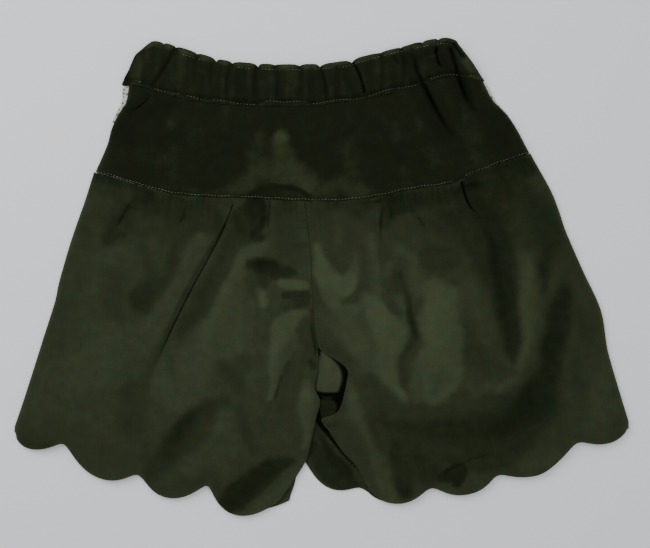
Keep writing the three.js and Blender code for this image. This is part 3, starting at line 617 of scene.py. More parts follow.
    right_leg: tuple[NapAndShadePatch, ...] = patches(
        # along the yoke seam and down the outer edge
        (-0.70, 8, (50, 60, 5), (85, 58, 8), (112, 56, 14), (138, 58, 19), (158, 46, 16), (170, 28, 10)),
        (-0.28, 8, (60, 38, 6), (80, 34, 8), (98, 28, 9)),
        (-0.66, 6, (102, 58, 8), (109, 36, 11), (118, 14, 9), (123, -2, 5)),
        (-0.62, 6, (90, 46, 6), (99, 36, 6)),
        (-0.80, 6, (114, 62, 7), (130, 60, 9), (142, 72, 8)),
        (-0.80, 3, (108, 73, 3.5), (125, 79, 4), (145, 85, 5.5), (154, 79, 6)),
        (-0.50, 6, (72, 46, 4), (86, 38, 5), (97, 32, 5)),
        (-0.12, 6, (-2, 48, 9), (20, 42, 10), (35, 40, 8)),
        (-0.42, 4, (8, 54, 3), (22, 53, 4), (34, 54, 5)),
        (-0.38, 4, (25, 50, 5), (30, 46, 5)),
        (0.12, 4, (13, 50, 3), (14, 28, 3.5)),
        (0.12, 3, (38.5, 56, 1.8), (38, 42, 2), (38, 31, 2)),
        (-0.72, 3.5, (47, 57, 5), (50, 48, 6), (47, 38, 3.5)),
        (-0.85, 4, (52, 58, 4), (60, 54, 6), (66, 52, 3)),
        (-0.12, 6, (56, 38, 5), (60, 28, 8)),
        (-0.50, 5, (148, 42, 8), (152, 26, 8)),
        (-0.72, 4.5, (167, 44, 6), (167, 24, 6.5), (165, 4, 5.5), (164, -10, 3)),
        (-0.30, 6, (184, 24, 5), (190, 6, 6)),
        # inner half
        (0.15, 8, (3, -30, 9), (6, -42, 7)),
        (0.88, 3.5, (-3, 24, 3), (-2, 14, 5.5), (2, 2, 7), (10, -6, 8), (20, -6, 7), (24, 2, 4)),
        (0.45, 3.5, (25, 4, 2.5), (25.5, 14, 2.5)),
        (0.66, 4.5, (6, -12, 6), (12, -20, 6), (24, -26, 6)),
        (-0.05, 4, (9, 20, 2.5), (14, 10, 4), (18, 6, 2)),
        (-0.02, 2.8, (30, 14, 2), (30, -4, 2.2), (26, -14, 3.2), (17, -19, 3)),
        (0.42, 3.5, (37, 28, 2.5), (37, 12, 3), (40, -4, 3.5), (42, -16, 3)),
        (-0.15, 3.5, (44.5, 26, 2.5), (46, 8, 3)),
        (0.35, 4, (49, 9, 3.5), (49, 2, 3)),
        (0.30, 6, (58, 20, 6), (70, 6, 6), (72, -10, 5)),
        (0.50, 6, (16, -30, 6), (24, -44, 10), (32, -58, 10), (44, -74, 9)),
        (0.84, 4.5, (34, -18, 5), (42, -28, 9), (49, -38, 14), (51, -48, 13), (49, -60, 9), (51, -74, 7),
         (59, -88, 5)),
        (0.60, 4, (58, -16, 4), (60, -30, 4)),
        (0.0, 3, (47, -14, 2.5), (52, -22, 4.5), (57, -27, 3)),
        (0.0, 3, (59, 12, 3.5), (60, 4, 3)),
        (-0.50, 2.5, (60, 2, 2), (63.5, -14, 2.2), (66.5, -27, 3), (70, -38, 3.4), (73, -48, 4), (70, -56, 5.5)),
        (-0.88, 2.0, (64.5, -16, 1.0), (67.5, -28, 2.0), (70.6, -39, 2.2), (72, -46, 1.4)),
        (-0.25, 4, (68, -58, 4.5), (63, -68, 4.5), (61, -80, 2.5)),
        (0.42, 5, (80, -62, 9), (74, -78, 9), (72, -88, 5)),
        (0.66, 4, (89, -12, 12), (89, -25, 14.5), (90, -45, 15), (90, -62, 15), (89, -80, 15), (88, -88, 10)),
        (0.66, 3, (80, -6, 5), (97, -5, 5)),
        (0.80, 7, (88, -28, 8), (90, -56, 9)),
        (0.40, 5, (86, -76, 6), (84, -86, 4)),
        (-0.40, 3.0, (82, 14, 9), (91, 12, 10), (99, 11, 6)),
        (0.18, 7, (110, -8, 6), (114, -24, 7)),
        (0.08, 6, (118, -38, 6), (124, -48, 6)),
        (-0.28, 5, (107.5, -36, 2.5), (109.5, -50, 4.5), (116, -62, 8), (128, -69, 7.5), (141, -70, 4)),
        (0.10, 6, (110, -80, 6), (122, -80, 4)),
        (-0.30, 5, (122, -92, 4), (134, -91, 4)),
        # the trough from the seam and the sweep round it
        (-0.72, 5, (113, 60, 6), (120, 48, 9), (130, 32, 14), (134, 10, 12), (136, -12, 10), (140, -35, 8),
         (143, -52, 6)),
        (-0.96, 3.5, (113, 53, 3), (121, 45, 6), (129, 35, 8.5), (134, 22, 9.2), (136.5, 8, 8.5), (138, -8, 7.2),
         (140.7, -20, 6.6), (143, -35, 6.4), (145, -50, 5), (144, -61, 2.5)),
        (0.34, 4, (155, 15, 2.5), (154.5, 4, 5), (155, -10, 7), (158.5, -35, 7.5), (157.5, -54, 7.5), (151, -69, 6.5),
         (145, -77, 4), (132, -83, 3.5)),
        (-0.62, 8, (48, -108, 8), (70, -113, 12), (95, -115, 14), (125, -112, 15), (142, -104, 11)),
        (-0.70, 7, (88, -112, 6), (112, -117, 8)),
        (-0.24, 5.5, (34, -76, 4), (44, -92, 7), (60, -99, 5), (80, -103, 4), (98, -100, 5), (112, -93, 4)),
        (-0.68, 6, (181, -6, 5), (178.5, -27, 9.5), (174.5, -46, 10.5), (171.5, -64, 10.5), (168, -80, 11),
         (161, -96, 15), (149, -111, 14), (134, -122, 10)),
        (-0.98, 5, (180.5, -12, 3.5), (177, -27, 6.5), (173, -46, 7.5), (170.5, -63, 7.5), (167, -79, 8),
         (160, -94, 11.5), (151, -106, 11), (141, -115, 8)),
        (0.24, 8, (208, -74, 8), (210, -94, 12), (208, -110, 8)),
        (-0.38, 7, (190, -26, 6), (198, -44, 6)),
        (-0.28, 8, (188, -60, 6), (191, -82, 6)),
        # towards the hem
        (-0.72, 7, (92, -134, 7), (116, -132, 10), (138, -126, 10), (154, -118, 8)),
        (-0.44, 5, (60, -121, 2.5), (82, -128, 3.5), (100, -132, 2.5)),
        (-0.78, 5, (102, -122, 5), (122, -117, 6), (142, -112, 6)),
        (-0.70, 5, (56, -126, 6), (59, -138, 9), (61, -149, 8), (63, -158, 5)),
        (-0.60, 4, (112, -142, 4), (128, -141, 4), (140, -139, 3)),
        (-0.90, 4, (57, -154, 4), (62, -159, 4)),
        (-0.70, 6, (72, -134, 8), (81, -147, 9)),
        (0.20, 5, (152, -142, 4), (162, -142, 5), (174, -134, 5)),
        (-0.98, 1.6, (90, -150, 3.5), (97, -148, 6.5), (102.5, -146, 7), (101, -154, 4)),
        (0.05, 3, (114, -150, 3.5), (117, -156, 3.5)),
        (0.12, 3, (92, -160.5, 2), (106, -163, 2), (116, -160.5, 2)),
        (-0.10, 4, (10, -112, 6), (18, -124, 6), (28, -138, 5), (34, -150, 4)),
        (0.36, 3.5, (20, -76, 2.5), (22, -88, 4), (27, -101, 4.5), (33, -114, 5), (39.5, -132, 5), (45, -150, 6),
         (50, -163, 6)),
        (-0.22, 3.5, (36, -108, 2), (42, -121, 3.5), (46, -130, 2)),
        (0.10, 3, (62, -167, 2.5), (72, -163.5, 2.5)),
        # small shades below the seam, beside the folds and over the hem
        (-1.00, 5, (115, 66, 5), (117, 56, 6), (123, 45, 6), (130, 35, 5)),
        (-0.80, 4, (96, 42, 3.5), (99, 36, 3)),
        (-0.18, 5, (90, 0, 4), (98, -4, 4)),
        (-0.24, 4, (75, -52, 3), (71, -58, 2.5)),
        (-1.12, 5, (128, -115, 4), (140, -114, 6.5), (154, -104, 6), (165, -91, 3.5)),
    )
    # painted shadow in black round the crotch opening and under the parted back panels' edges, with painted light on
    # the front cloth inside the opening
    front_right: tuple[NapAndShadePatch, ...] = patches(
        (-2.00, 1.5, (0, -58, 6), (10, -76, 14), (4, -92, 10), (-2, -104, 4), (4, -114, 3)),
        (0.75, 1.7, (1.4, -57, 2.4), (2.8, -62, 4.4), (4.8, -67, 6.7), (6.0, -70.5, 7.9), (6.6, -75, 8.7),
         (6.0, -79, 8.6), (5.0, -82.4, 8.2)),
        (0.62, 1.2, (-1.5, -62, 2.5), (-0.5, -70, 3.5), (-0.5, -79, 3.5), (-1.5, -84, 2.8)),
        (0.40, 3.0, (0, -84, 1.5), (9, -84, 1.5)),
        (-2.00, 0.7, (-6, -86.6, 1.6), (2, -88.4, 1.7), (15, -88.4, 1.8)),
        (-2.00, 0.7, (12.5, -93, 2.6), (15, -93, 2.6)),
        (-0.92, 1.4, (-4, -95, 2.6), (4, -96.2, 4.6), (6, -99, 5.0), (-3, -103, 4)),
        (-2.00, 0.9, (13.4, -93, 1.6), (12.6, -98, 1.3), (11.2, -102, 0.8)),
        (-0.70, 1.8, (2, -101.5, 1.0), (9, -102, 1.0)),
        (-0.75, 1.2, (-6, -128, 5), (4, -140, 10), (14, -150, 10), (24, -156, 5)),
        (-0.65, 2.0, (-3.5, -113, 1.5), (0, -120, 3), (6, -130, 4)),
        (-1.05, 2.5, (2, -124, 2), (10, -136, 4), (20, -148, 3)),
        (-2.00, 0.7, (-1.6, -101, 0.6), (-1.8, -107, 2.0), (0.6, -112, 2.0), (5.6, -119, 1.3), (15, -130.5, 1.1),
         (23, -139, 0.9), (29, -145, 0.3)),
    )
    yoke: tuple[NapAndShadePatch, ...] = patches(
        (0.10, 6, (-163, 82, 5), (-155, 92, 5)),
        (-0.38, 8, (-148, 104, 8), (-142, 118, 9), (-128, 127, 7)),
        (-0.22, 6, (-146, 78, 6), (-138, 76, 6)),
        (0.04, 6, (-135, 98, 6), (-128, 88, 6)),
        (-0.22, 6, (-118, 116, 6), (-108, 104, 6)),
        (-0.20, 6, (-116, 126, 5), (-104, 128, 4)),
        (0.18, 5, (-112, 114, 3.5), (-110, 124, 3)),
        (0.14, 6, (-96, 112, 3.5), (-92, 104, 4)),
        (0.20, 5, (-72, 114, 2.5), (-71, 126, 2.5)),
        (0.12, 8, (-112, 92, 7), (-108, 78, 7)),
        (-0.28, 4, (-108, 66, 3.5), (-82, 65, 3)),
        (-0.20, 7, (-138, 108, 6), (-122, 102, 5)),
        (-0.12, 8, (-80, 95, 10), (-68, 90, 10)),
        (0.25, 6, (-46, 104, 5), (-50, 92, 6), (-46, 82, 7)),
        (0.46, 7, (-44, 76, 8), (-56, 70, 7), (-70, 63, 5)),
        (0.64, 7, (-31, 100, 4), (-29, 90, 7), (-27, 81, 12), (-24, 74, 13), (-8, 68, 8)),
        (0.75, 5, (-16, 68, 4), (-12, 64, 3)),
        (1.00, 3.5, (-31, 105, 3), (-29, 102, 3)),
        (-0.45, 2.2, (-51, 61.5, 1.5), (-44, 64.5, 2.2), (-35, 66, 2.5), (-25, 65.5, 2.5), (-16, 63, 2),
         (-8, 59.5, 1.2)),
        (-0.10, 3, (-44, 60.5, 1.5), (-20, 60, 1.5)),
        (0.38, 6, (4, 64, 6), (18, 68, 7), (30, 62, 6)),
        (0.20, 7, (20, 96, 5), (22, 86, 6), (24, 78, 6)),
        (0.15, 5, (54, 113, 4), (55, 106, 3.5)),
        (0.20, 5, (72, 118, 3.5), (74, 111, 3.5)),
        (-0.34, 6, (80, 128, 4), (84, 114, 6), (88, 104, 6)),
        (-0.18, 5, (57, 95, 4), (58, 90, 3)),
        (0.20, 5, (85, 93, 3.5), (87, 84, 4)),
        (0.12, 6, (62, 78, 4), (62, 70, 4)),
        (-0.26, 5, (80, 144, 4), (90, 128, 5), (96, 112, 3)),
        (-0.90, 2.4, (75.5, 143, 1.5), (83.5, 128.5, 2.2), (91.5, 114.5, 2.2), (97.5, 104.5, 1.5)),
        (-0.08, 3, (92, 132, 2), (98, 120, 2.5), (104, 108, 2.5)),
        (0.18, 5, (104, 132, 3), (107, 118, 5), (111, 104, 6)),
        (0.15, 7, (114, 92, 7), (120, 82, 6)),
        (-0.28, 7, (120, 124, 5), (128, 112, 7), (137, 100, 7)),
        (-0.10, 6, (99, 96, 3), (104, 86, 3)),
        (-0.95, 2.6, (102, 149, 1.2), (106, 140, 3.0), (110, 131, 3.2), (114, 124, 1.6)),
        (-0.52, 6, (-140, 120, 4), (-126, 125, 4), (-112, 128, 4)),
        (-0.50, 5, (-142, 108, 4), (-141, 101, 3.5)),
        (0.10, 4, (-118, 68, 2.5), (-96, 64, 3), (-72, 62, 3)),
    )
    band: tuple[NapAndShadePatch, ...] = patches(
        (0.32, 6, (-140, 148, 5), (-137, 160, 5)),
        (-0.05, 5, (-124, 158, 4), (-130, 146, 4)),
        (0.12, 6, (-108, 156, 6), (-100, 146, 6)),
        (-0.20, 6, (-60, 150, 5), (-58, 134, 6)),
        (0.18, 5, (-24, 154, 5), (-20, 152, 5), (-20, 142, 4)),
        (-0.22, 5, (-8, 150, 4), (-7, 136, 4)),
        (-0.15, 4, (18, 152, 3), (24, 142, 4)),
        (-0.05, 5, (50, 148, 6), (62, 148, 5)),
        (-0.38, 5, (62, 164, 4), (74, 164, 5), (86, 162, 6), (90, 156, 4)),
        (-0.15, 4, (84, 148, 4), (96, 146, 4)),
        (0.62, 3, (104, 168, 2.5), (110, 157, 4.4), (115.5, 149, 5.0)),
        (-0.15, 3, (98, 158, 1.2), (100.5, 150, 1.8), (103, 145, 2.0)),
    )
    seam_dark: float = 0.35  # how much darker the legs' pile is painted near the yoke seam
    seam_reach: float = 15.0
    crisp: float = 1.7  # a patch with a narrower edge than this isn't swayed
    slope_gain: float = 0.35  # how much a slope that faces the light lightens the pile
    slope_keen: float = 1.5  # how soon a slope counts in full
    slope_step: float = 0.8  # the distance to each side over which a slope is measured
    light_from: tuple[float, float] = (-0.66, 0.75)

    def tone(self, table: tuple[NapAndShadePatch, ...], base: float, x: Array, y: Array) -> Array:
        """Return the pile's tone: the patches of pile and of painted light and shade over a base tone, and the
        painted light and shade of the soft folds' slopes.
        """
        tone = np.full_like(x, base)
        swayed = SWAY.places(x, y)
        for patch in table:
            tone = patch.over(tone, *(swayed if patch.soft > self.crisp else (x, y)))
        step = self.slope_step
        slope_x = (raised(FOLDS.soft, x + step, y) - raised(FOLDS.soft, x - step, y)) / (2 * step)
        slope_y = (raised(FOLDS.soft, x, y + step) - raised(FOLDS.soft, x, y - step)) / (2 * step)
        facing = -(slope_x * self.light_from[0] + slope_y * self.light_from[1])
        return tone + self.slope_gain * np.tanh(facing * self.slope_keen)


SWAY = Sway()
PATTERN = Pattern()
HEMS = Hems()
LAYERS = Layers()
FOLDS = Folds()
NAP_AND_SHADE = NapAndShade()


def wave(u: Array, waves: float, uneven: float, sway: float) -> Array:
    """Return an uneven wave from -1 to 1 along a gathered edge.

    Args:
        u: shares of the edge's length.
        waves: how many waves it has.
        uneven: how unevenly they are spaced.
        sway: how often that unevenness comes back.

    Returns:
        The wave's value at each share.
    """
    share = u + uneven * np.sin(sway * np.pi * u) + uneven / 2 * np.sin(3 * sway * u + 1)
    return np.cos(2 * np.pi * waves * share)


@dataclass(frozen=True)
class Focus:
    """A place along a piece of cloth where its mesh is finer."""

    centre: float
    width: float
    strength: float


def graded(count: int, *focuses: Focus) -> Array:
    """Return the shares of a piece's length at which its mesh is divided, closer at the focuses."""
    even = np.linspace(0, 1, MESH_SAMPLES)
    density = 1 + sum((f.strength * bell(even - f.centre, f.width) for f in focuses), np.zeros_like(even))
    run = np.concatenate([[0], np.cumsum((density[1:] + density[:-1]) / 2)])
    return np.interp(np.linspace(0, run[-1], count + 1), run, even)


@dataclass(frozen=True)
class Patch:
    """A piece's outline: four edges with a smooth net between them, u across and v down."""

    top: Edge
    bottom: Edge
    left: Edge
    right: Edge
    hang: Edge | None = None
    hang_power: float = 6.0
    search: tuple[int, int] = (401, 61)  # columns and rows at which a path's crossing is looked for
    window: int = 7  # rows over which the crossings are averaged

    def __call__(self, u: Array, v: Array) -> Places:
        """Return the places of the net at the shares u and v."""
        zero, one = np.zeros_like(u), np.ones_like(u)
        edges = [self.top(u), self.bottom(u), self.left(v), self.right(v)]
        corners = [self.top(zero), self.top(one), self.bottom(zero), self.bottom(one)]
        hang = self.hang(u) if self.hang else (zero, zero)
        place = []
        for k in (0, 1):
            top, bottom, left, right = (edge[k] for edge in edges)
            c00, c10, c01, c11 = (corner[k] for corner in corners)
            net = mix(top, bottom, v) + mix(left, right, u) - mix(mix(c00, c10, u), mix(c01, c11, u), v)
            place.append(net + hang[k] * v**self.hang_power)
        return place[0], place[1]

    def follow(self, path: Outline) -> Curve:
        """Return the share u at which a path x(y) crosses the net, for any share v."""
        us, vs = (np.linspace(0, 1, count) for count in self.search)
        found = []
        for v in vs:
            x, y = self(us, np.full_like(us, v))
            found.append(us[np.argmin(np.abs(x - path(y)))])
        padded = np.pad(found, self.window // 2, mode="edge")
        smooth = np.convolve(padded, np.ones(self.window) / self.window, mode="valid")
        return lambda v: np.interp(v, vs, smooth)


def across(x0: float, x1: float, curve: Curve, shift: float = 0.0) -> Edge:
    """Return an edge that runs across the garment from x0 to x1 along a curve."""

    def edge(u: Array) -> Places:
        """Return the edge's places at the shares u."""
        x = mix(x0, x1, u)
        return x, curve(x) + shift

    return edge


def down(y0: float, y1: float, curve: Curve, shift: float = 0.0) -> Edge:
    """Return an edge that runs down the garment from y0 to y1 along a curve."""

    def edge(v: Array) -> Places:
        """Return the edge's places at the shares v."""
        y = mix(y0, y1, v)
        return curve(y) + shift, y

    return edge


def straight(a: tuple[float, float], b: tuple[float, float]) -> Edge:
    """Return the straight edge from a to b."""

    def edge(v: Array) -> Places:
        """Return the edge's places at the shares v."""
        return mix(a[0], b[0], v), mix(a[1], b[1], v)

    return edge


def end_of(edge: Edge, share: float) -> tuple[float, float]:
    """Return one place of an edge."""
    x, y = edge(np.array([share]))
    return float(x[0]), float(y[0])


def pinned(curve: Curve, start: tuple[float, float], end: tuple[float, float], keenness: float = 12) -> Curve:
    """Return the curve x(y) eased over near its ends so that it meets two corners exactly.

    Args:
        curve: the curve to ease.
        start: the corner (x, y) that it starts on.
        end: the corner (x, y) that it ends on.
        keenness: how close to its ends it is eased.

    Returns:
        The eased curve.
    """
    (x0, y0), (x1, y1) = start, end
    first, last = float(curve(np.array([y0]))[0]), float(curve(np.array([y1]))[0])

    def eased(y: Array) -> Array:
        """Return the eased curve's values at the heights y."""
        share = np.clip((y - y0) / (y1 - y0), 0, 1)
        return curve(y) + (x0 - first) * (1 - share) ** keenness + (x1 - last) * share**keenness

    return eased


class ClothTone(Enum):
    """The two ways the corduroy's pile lies in the garment, by the slot that each belongs to."""

    YOKE = "yoke_corduroy"
    LEG = "leg_corduroy"


@dataclass(frozen=True)
class Corduroy:
    """Fine cotton corduroy: short upright pile in narrow wales, lighter and darker in patches of brushed pile and of
    painted light and shade.
    """

    tone: ClothTone
    # the ramp's colours; black is for painted shadow and the deepest painted shade in creases
    black: tuple[float, float, float]
    dark: tuple[float, float, float]
    base: tuple[float, float, float]
    light: tuple[float, float, float]
    wale: float = 1.25  # from one wale to the next
    drift: float = 1.1  # how far the wales wander
    wale_keen: float = 0.7  # below 1, the wales are broad and the grooves between them narrow
    wale_shade: float = 0.16  # how much lighter a wale is than its groove, which holds painted shade
    groove_tone: float = 0.90
    mottle: float = 0.9  # how much the tone varies in blotches
    specks: float = 0.8  # and from tuft to tuft
    fuzz: float = 0.6  # how rough the pile's surface is, beside the wales
    pile: float = 0.3  # the depth of the pile
    relief: float = 0.35
    warm: tuple[float, float, float] = (1.07, 0.975, 0.95)
    cool: tuple[float, float, float] = (0.92, 1.03, 1.06)
    hue_run: tuple[float, float] = (0.36, 0.64)
    gloss: float = 0.06
    sheen: float = 0.04
    sheen_roughness: float = 0.4
    sheen_tint: tuple[float, float, float] = (0.62, 0.72, 0.45)
    roughness: float = 0.95

    def material(self) -> bpy.types.Material:
        """Return the material."""
        nodes = Nodes(self.tone.value)
        # the piece's tone: pile that lies another way, with its painted light and shade
        tone = nodes.add("ShaderNodeAttribute", attribute_name="nap_and_shade")
        cut = nodes.add("ShaderNodeUVMap", uv_map="cut")
        along = nodes.add("ShaderNodeSeparateXYZ")
        nodes.link(cut, "UV", along, "Vector")

        drift = nodes.noise(cut, "UV", scale=60, detail=3, roughness=0.6)
        mottle = nodes.noise(cut, "UV", scale=120, detail=5, roughness=0.62)
        fuzz = nodes.noise(cut, "UV", scale=1500, detail=2, roughness=0.7)
        warmth = nodes.noise(cut, "UV", scale=90, detail=4, roughness=0.55)

        sway = nodes.math("MULTIPLY_ADD", (drift, "Fac"), self.drift * MM, (along, "X"))
        phase = nodes.math("MULTIPLY", sway, 2 * math.pi / (self.wale * MM))
        rib = nodes.math("MULTIPLY_ADD", nodes.math("SINE", phase), 0.5, 0.5)
        pile = nodes.math("POWER", rib, self.wale_keen)

        soft = nodes.math("MULTIPLY_ADD", (mottle, "Fac"), self.mottle, -self.mottle / 2)
        toned = nodes.math("ADD", soft, (tone, "Fac"))
        specks = nodes.math("MULTIPLY_ADD", (fuzz, "Fac"), self.specks, -self.specks / 2)
        toned = nodes.math("ADD", toned, specks)
        share = nodes.math("MULTIPLY_ADD", toned, 1 / 3, 2 / 3)
        ramp = nodes.ramp(share, ((0.0, self.black), (1 / 3, self.dark), (2 / 3, self.base), (1.0, self.light)))
        # painted shade in the grooves between the wales
        shade = nodes.math("MULTIPLY_ADD", pile, self.wale_shade, self.groove_tone)
        shaded = nodes.blend("MULTIPLY", 1.0, (ramp, "Color"), (shade, 0))
        hue = nodes.ramp(warmth, ((self.hue_run[0], self.warm), (self.hue_run[1], self.cool)), "Fac")
        colour = nodes.blend("MULTIPLY", 1.0, (shaded, 2), (hue, "Color"))

        relief = nodes.math("MULTIPLY_ADD", (fuzz, "Fac"), self.fuzz, pile)
        nodes.bump(relief, 0, self.relief, self.pile)
        shader = nodes.finish(colour, 2, self.roughness)
        shader.inputs["Specular IOR Level"].default_value = self.gloss
        shader.inputs["Sheen Weight"].default_value = self.sheen
        shader.inputs["Sheen Roughness"].default_value = self.sheen_roughness
        shader.inputs["Sheen Tint"].default_value = (*self.sheen_tint, 1)
        return nodes.material


@dataclass(frozen=True)
class PrintedCotton:
    """Off-white cotton with a small scattered print of dark grey-green sprigs."""

    ground: tuple[float, float, float] = (0.44, 0.47, 0.42)
    sprig: tuple[float, float, float] = (0.10, 0.13, 0.10)
    sprigs: float = 420  # how many stand side by side on a metre
    scatter: float = 0.95
    uneven: float = 0.7  # how much the sprigs' edges waver
    edge_run: tuple[float, float] = (0.62, 0.92)
    weave: float = 0.1  # the depth of the weave
    relief: float = 0.3
    roughness: float = 0.85

    def material(self) -> bpy.types.Material:
        """Return the material."""
        nodes = Nodes("facing_print")
        cut = nodes.add("ShaderNodeUVMap", uv_map="cut")
        cells = nodes.add("ShaderNodeTexVoronoi", feature="F1")
        cells.inputs["Scale"].default_value = self.sprigs
        cells.inputs["Randomness"].default_value = self.scatter
        nodes.link(cut, "UV", cells, "Vector")
        ragged_edge = nodes.noise(cut, "UV", scale=700, detail=2, roughness=0.6)
        edge = nodes.math("MULTIPLY_ADD", (ragged_edge, "Fac"), self.uneven, (cells, "Distance"))
        ramp = nodes.ramp(edge, ((self.edge_run[0], self.sprig), (self.edge_run[1], self.ground)))
        weave = nodes.noise(cut, "UV", scale=2600, detail=1, roughness=0.5)
        nodes.bump(weave, "Fac", self.relief, self.weave)
        nodes.finish(ramp, "Color", self.roughness)
        return nodes.material


@dataclass(frozen=True)
class Thread:
    """Cream sewing thread with a faint twist, darker in patches where it sinks into the pile, partly hidden by it and
    partly in its painted shade.
    """

    colour: tuple[float, float, float] = (0.17, 0.18, 0.13)
    sunk: float = 0.25  # how much of its colour is left in the darker patches, partly painted shade
    sunk_run: tuple[float, float] = (0.36, 0.60)
    roughness: float = 0.7

    def material(self) -> bpy.types.Material:
        """Return the material."""
        nodes = Nodes("cream_thread")
        place = nodes.add("ShaderNodeTexCoord")
        # patches where the thread sinks into the pile, darkened partly as painted shade
        sunk = nodes.noise(place, "Object", scale=160, detail=3, roughness=0.7)
        deep = tuple(c * self.sunk for c in self.colour)
        ramp = nodes.ramp(sunk, ((self.sunk_run[0], deep), (self.sunk_run[1], self.colour)), "Fac")
        nodes.finish(ramp, "Color", self.roughness)
        return nodes.material


class Nodes:
    """A material's node tree, with short ways to add to it."""

    def __init__(self, name: str) -> None:
        """Start a material with a surface shader."""
        self.material = bpy.data.materials.new(name)
        self.material.use_nodes = True
        self.tree = self.material.node_tree
        self.shader = next(n for n in self.tree.nodes if n.type == "BSDF_PRINCIPLED")

    def add(self, kind: str, **settings: object) -> bpy.types.Node:
        """Add a node and set its settings."""
        node = self.tree.nodes.new(kind)
        for key, value in settings.items():
            setattr(node, key, value)
        return node

    def link(self, source: bpy.types.Node, output: str | int, target: bpy.types.Node, socket: str | int) -> None:
        """Link one node's output to another's input."""
        self.tree.links.new(source.outputs[output], target.inputs[socket])

    def noise(self, source: bpy.types.Node, output: str, scale: float, detail: float,
              roughness: float) -> bpy.types.Node:
        """Add a noise texture on the given coordinates."""
        node = self.add("ShaderNodeTexNoise")
        node.inputs["Scale"].default_value = scale
        node.inputs["Detail"].default_value = detail
        node.inputs["Roughness"].default_value = roughness
        self.link(source, output, node, "Vector")
        return node

    def math(self, operation: str, *values: object) -> bpy.types.Node:
        """Add a math node.

        Args:
            operation: what it works out.
            values: a number, a math node, or a (node, output) pair for each of its inputs.

        Returns:
            The node.
        """
        node = self.add("ShaderNodeMath", operation=operation)
        for socket, value in zip(node.inputs, values):
            if isinstance(value, tuple):
                self.tree.links.new(value[0].outputs[value[1]], socket)
            elif isinstance(value, bpy.types.Node):
                self.tree.links.new(value.outputs[0], socket)
            else:
                socket.default_value = value
        return node

    def blend(self, kind: str, share: float, a: tuple, b: tuple) -> bpy.types.Node:
        """Add a colour mix of two (node, output) pairs; its result is its output 2."""
        node = self.add("ShaderNodeMix", data_type="RGBA", blend_type=kind)
        node.inputs[0].default_value = share
        self.link(a[0], a[1], node, 6)
        self.link(b[0], b[1], node, 7)
        return node

    def ramp(self, source: bpy.types.Node, stops: tuple, output: str | int = 0) -> bpy.types.Node:
        """Add a colour ramp with a stop (position, colour) for each row of stops."""
        node = self.add("ShaderNodeValToRGB")
        elements = node.color_ramp.elements
        while len(elements) < len(stops):
            elements.new(0.5)
        for element, (position, colour) in zip(elements, stops):
            element.position = position
            element.color = (*colour, 1)
        self.tree.links.new(source.outputs[output], node.inputs["Fac"])
        return node

    def bump(self, source: bpy.types.Node, output: str | int, strength: float, depth: float) -> None:
        """Give the surface the relief of a pattern, depth millimetres deep."""
        node = self.add("ShaderNodeBump")
        node.inputs["Strength"].default_value = strength
        node.inputs["Distance"].default_value = depth * MM
        self.link(source, output, node, "Height")
        self.link(node, "Normal", self.shader, "Normal")

    def finish(self, colour: bpy.types.Node, output: str | int, roughness: float) -> bpy.types.Node:
        """Give the surface its colour and its roughness, and return its shader."""
        self.link(colour, output, self.shader, "Base Color")
        self.shader.inputs["Roughness"].default_value = roughness
        return self.shader


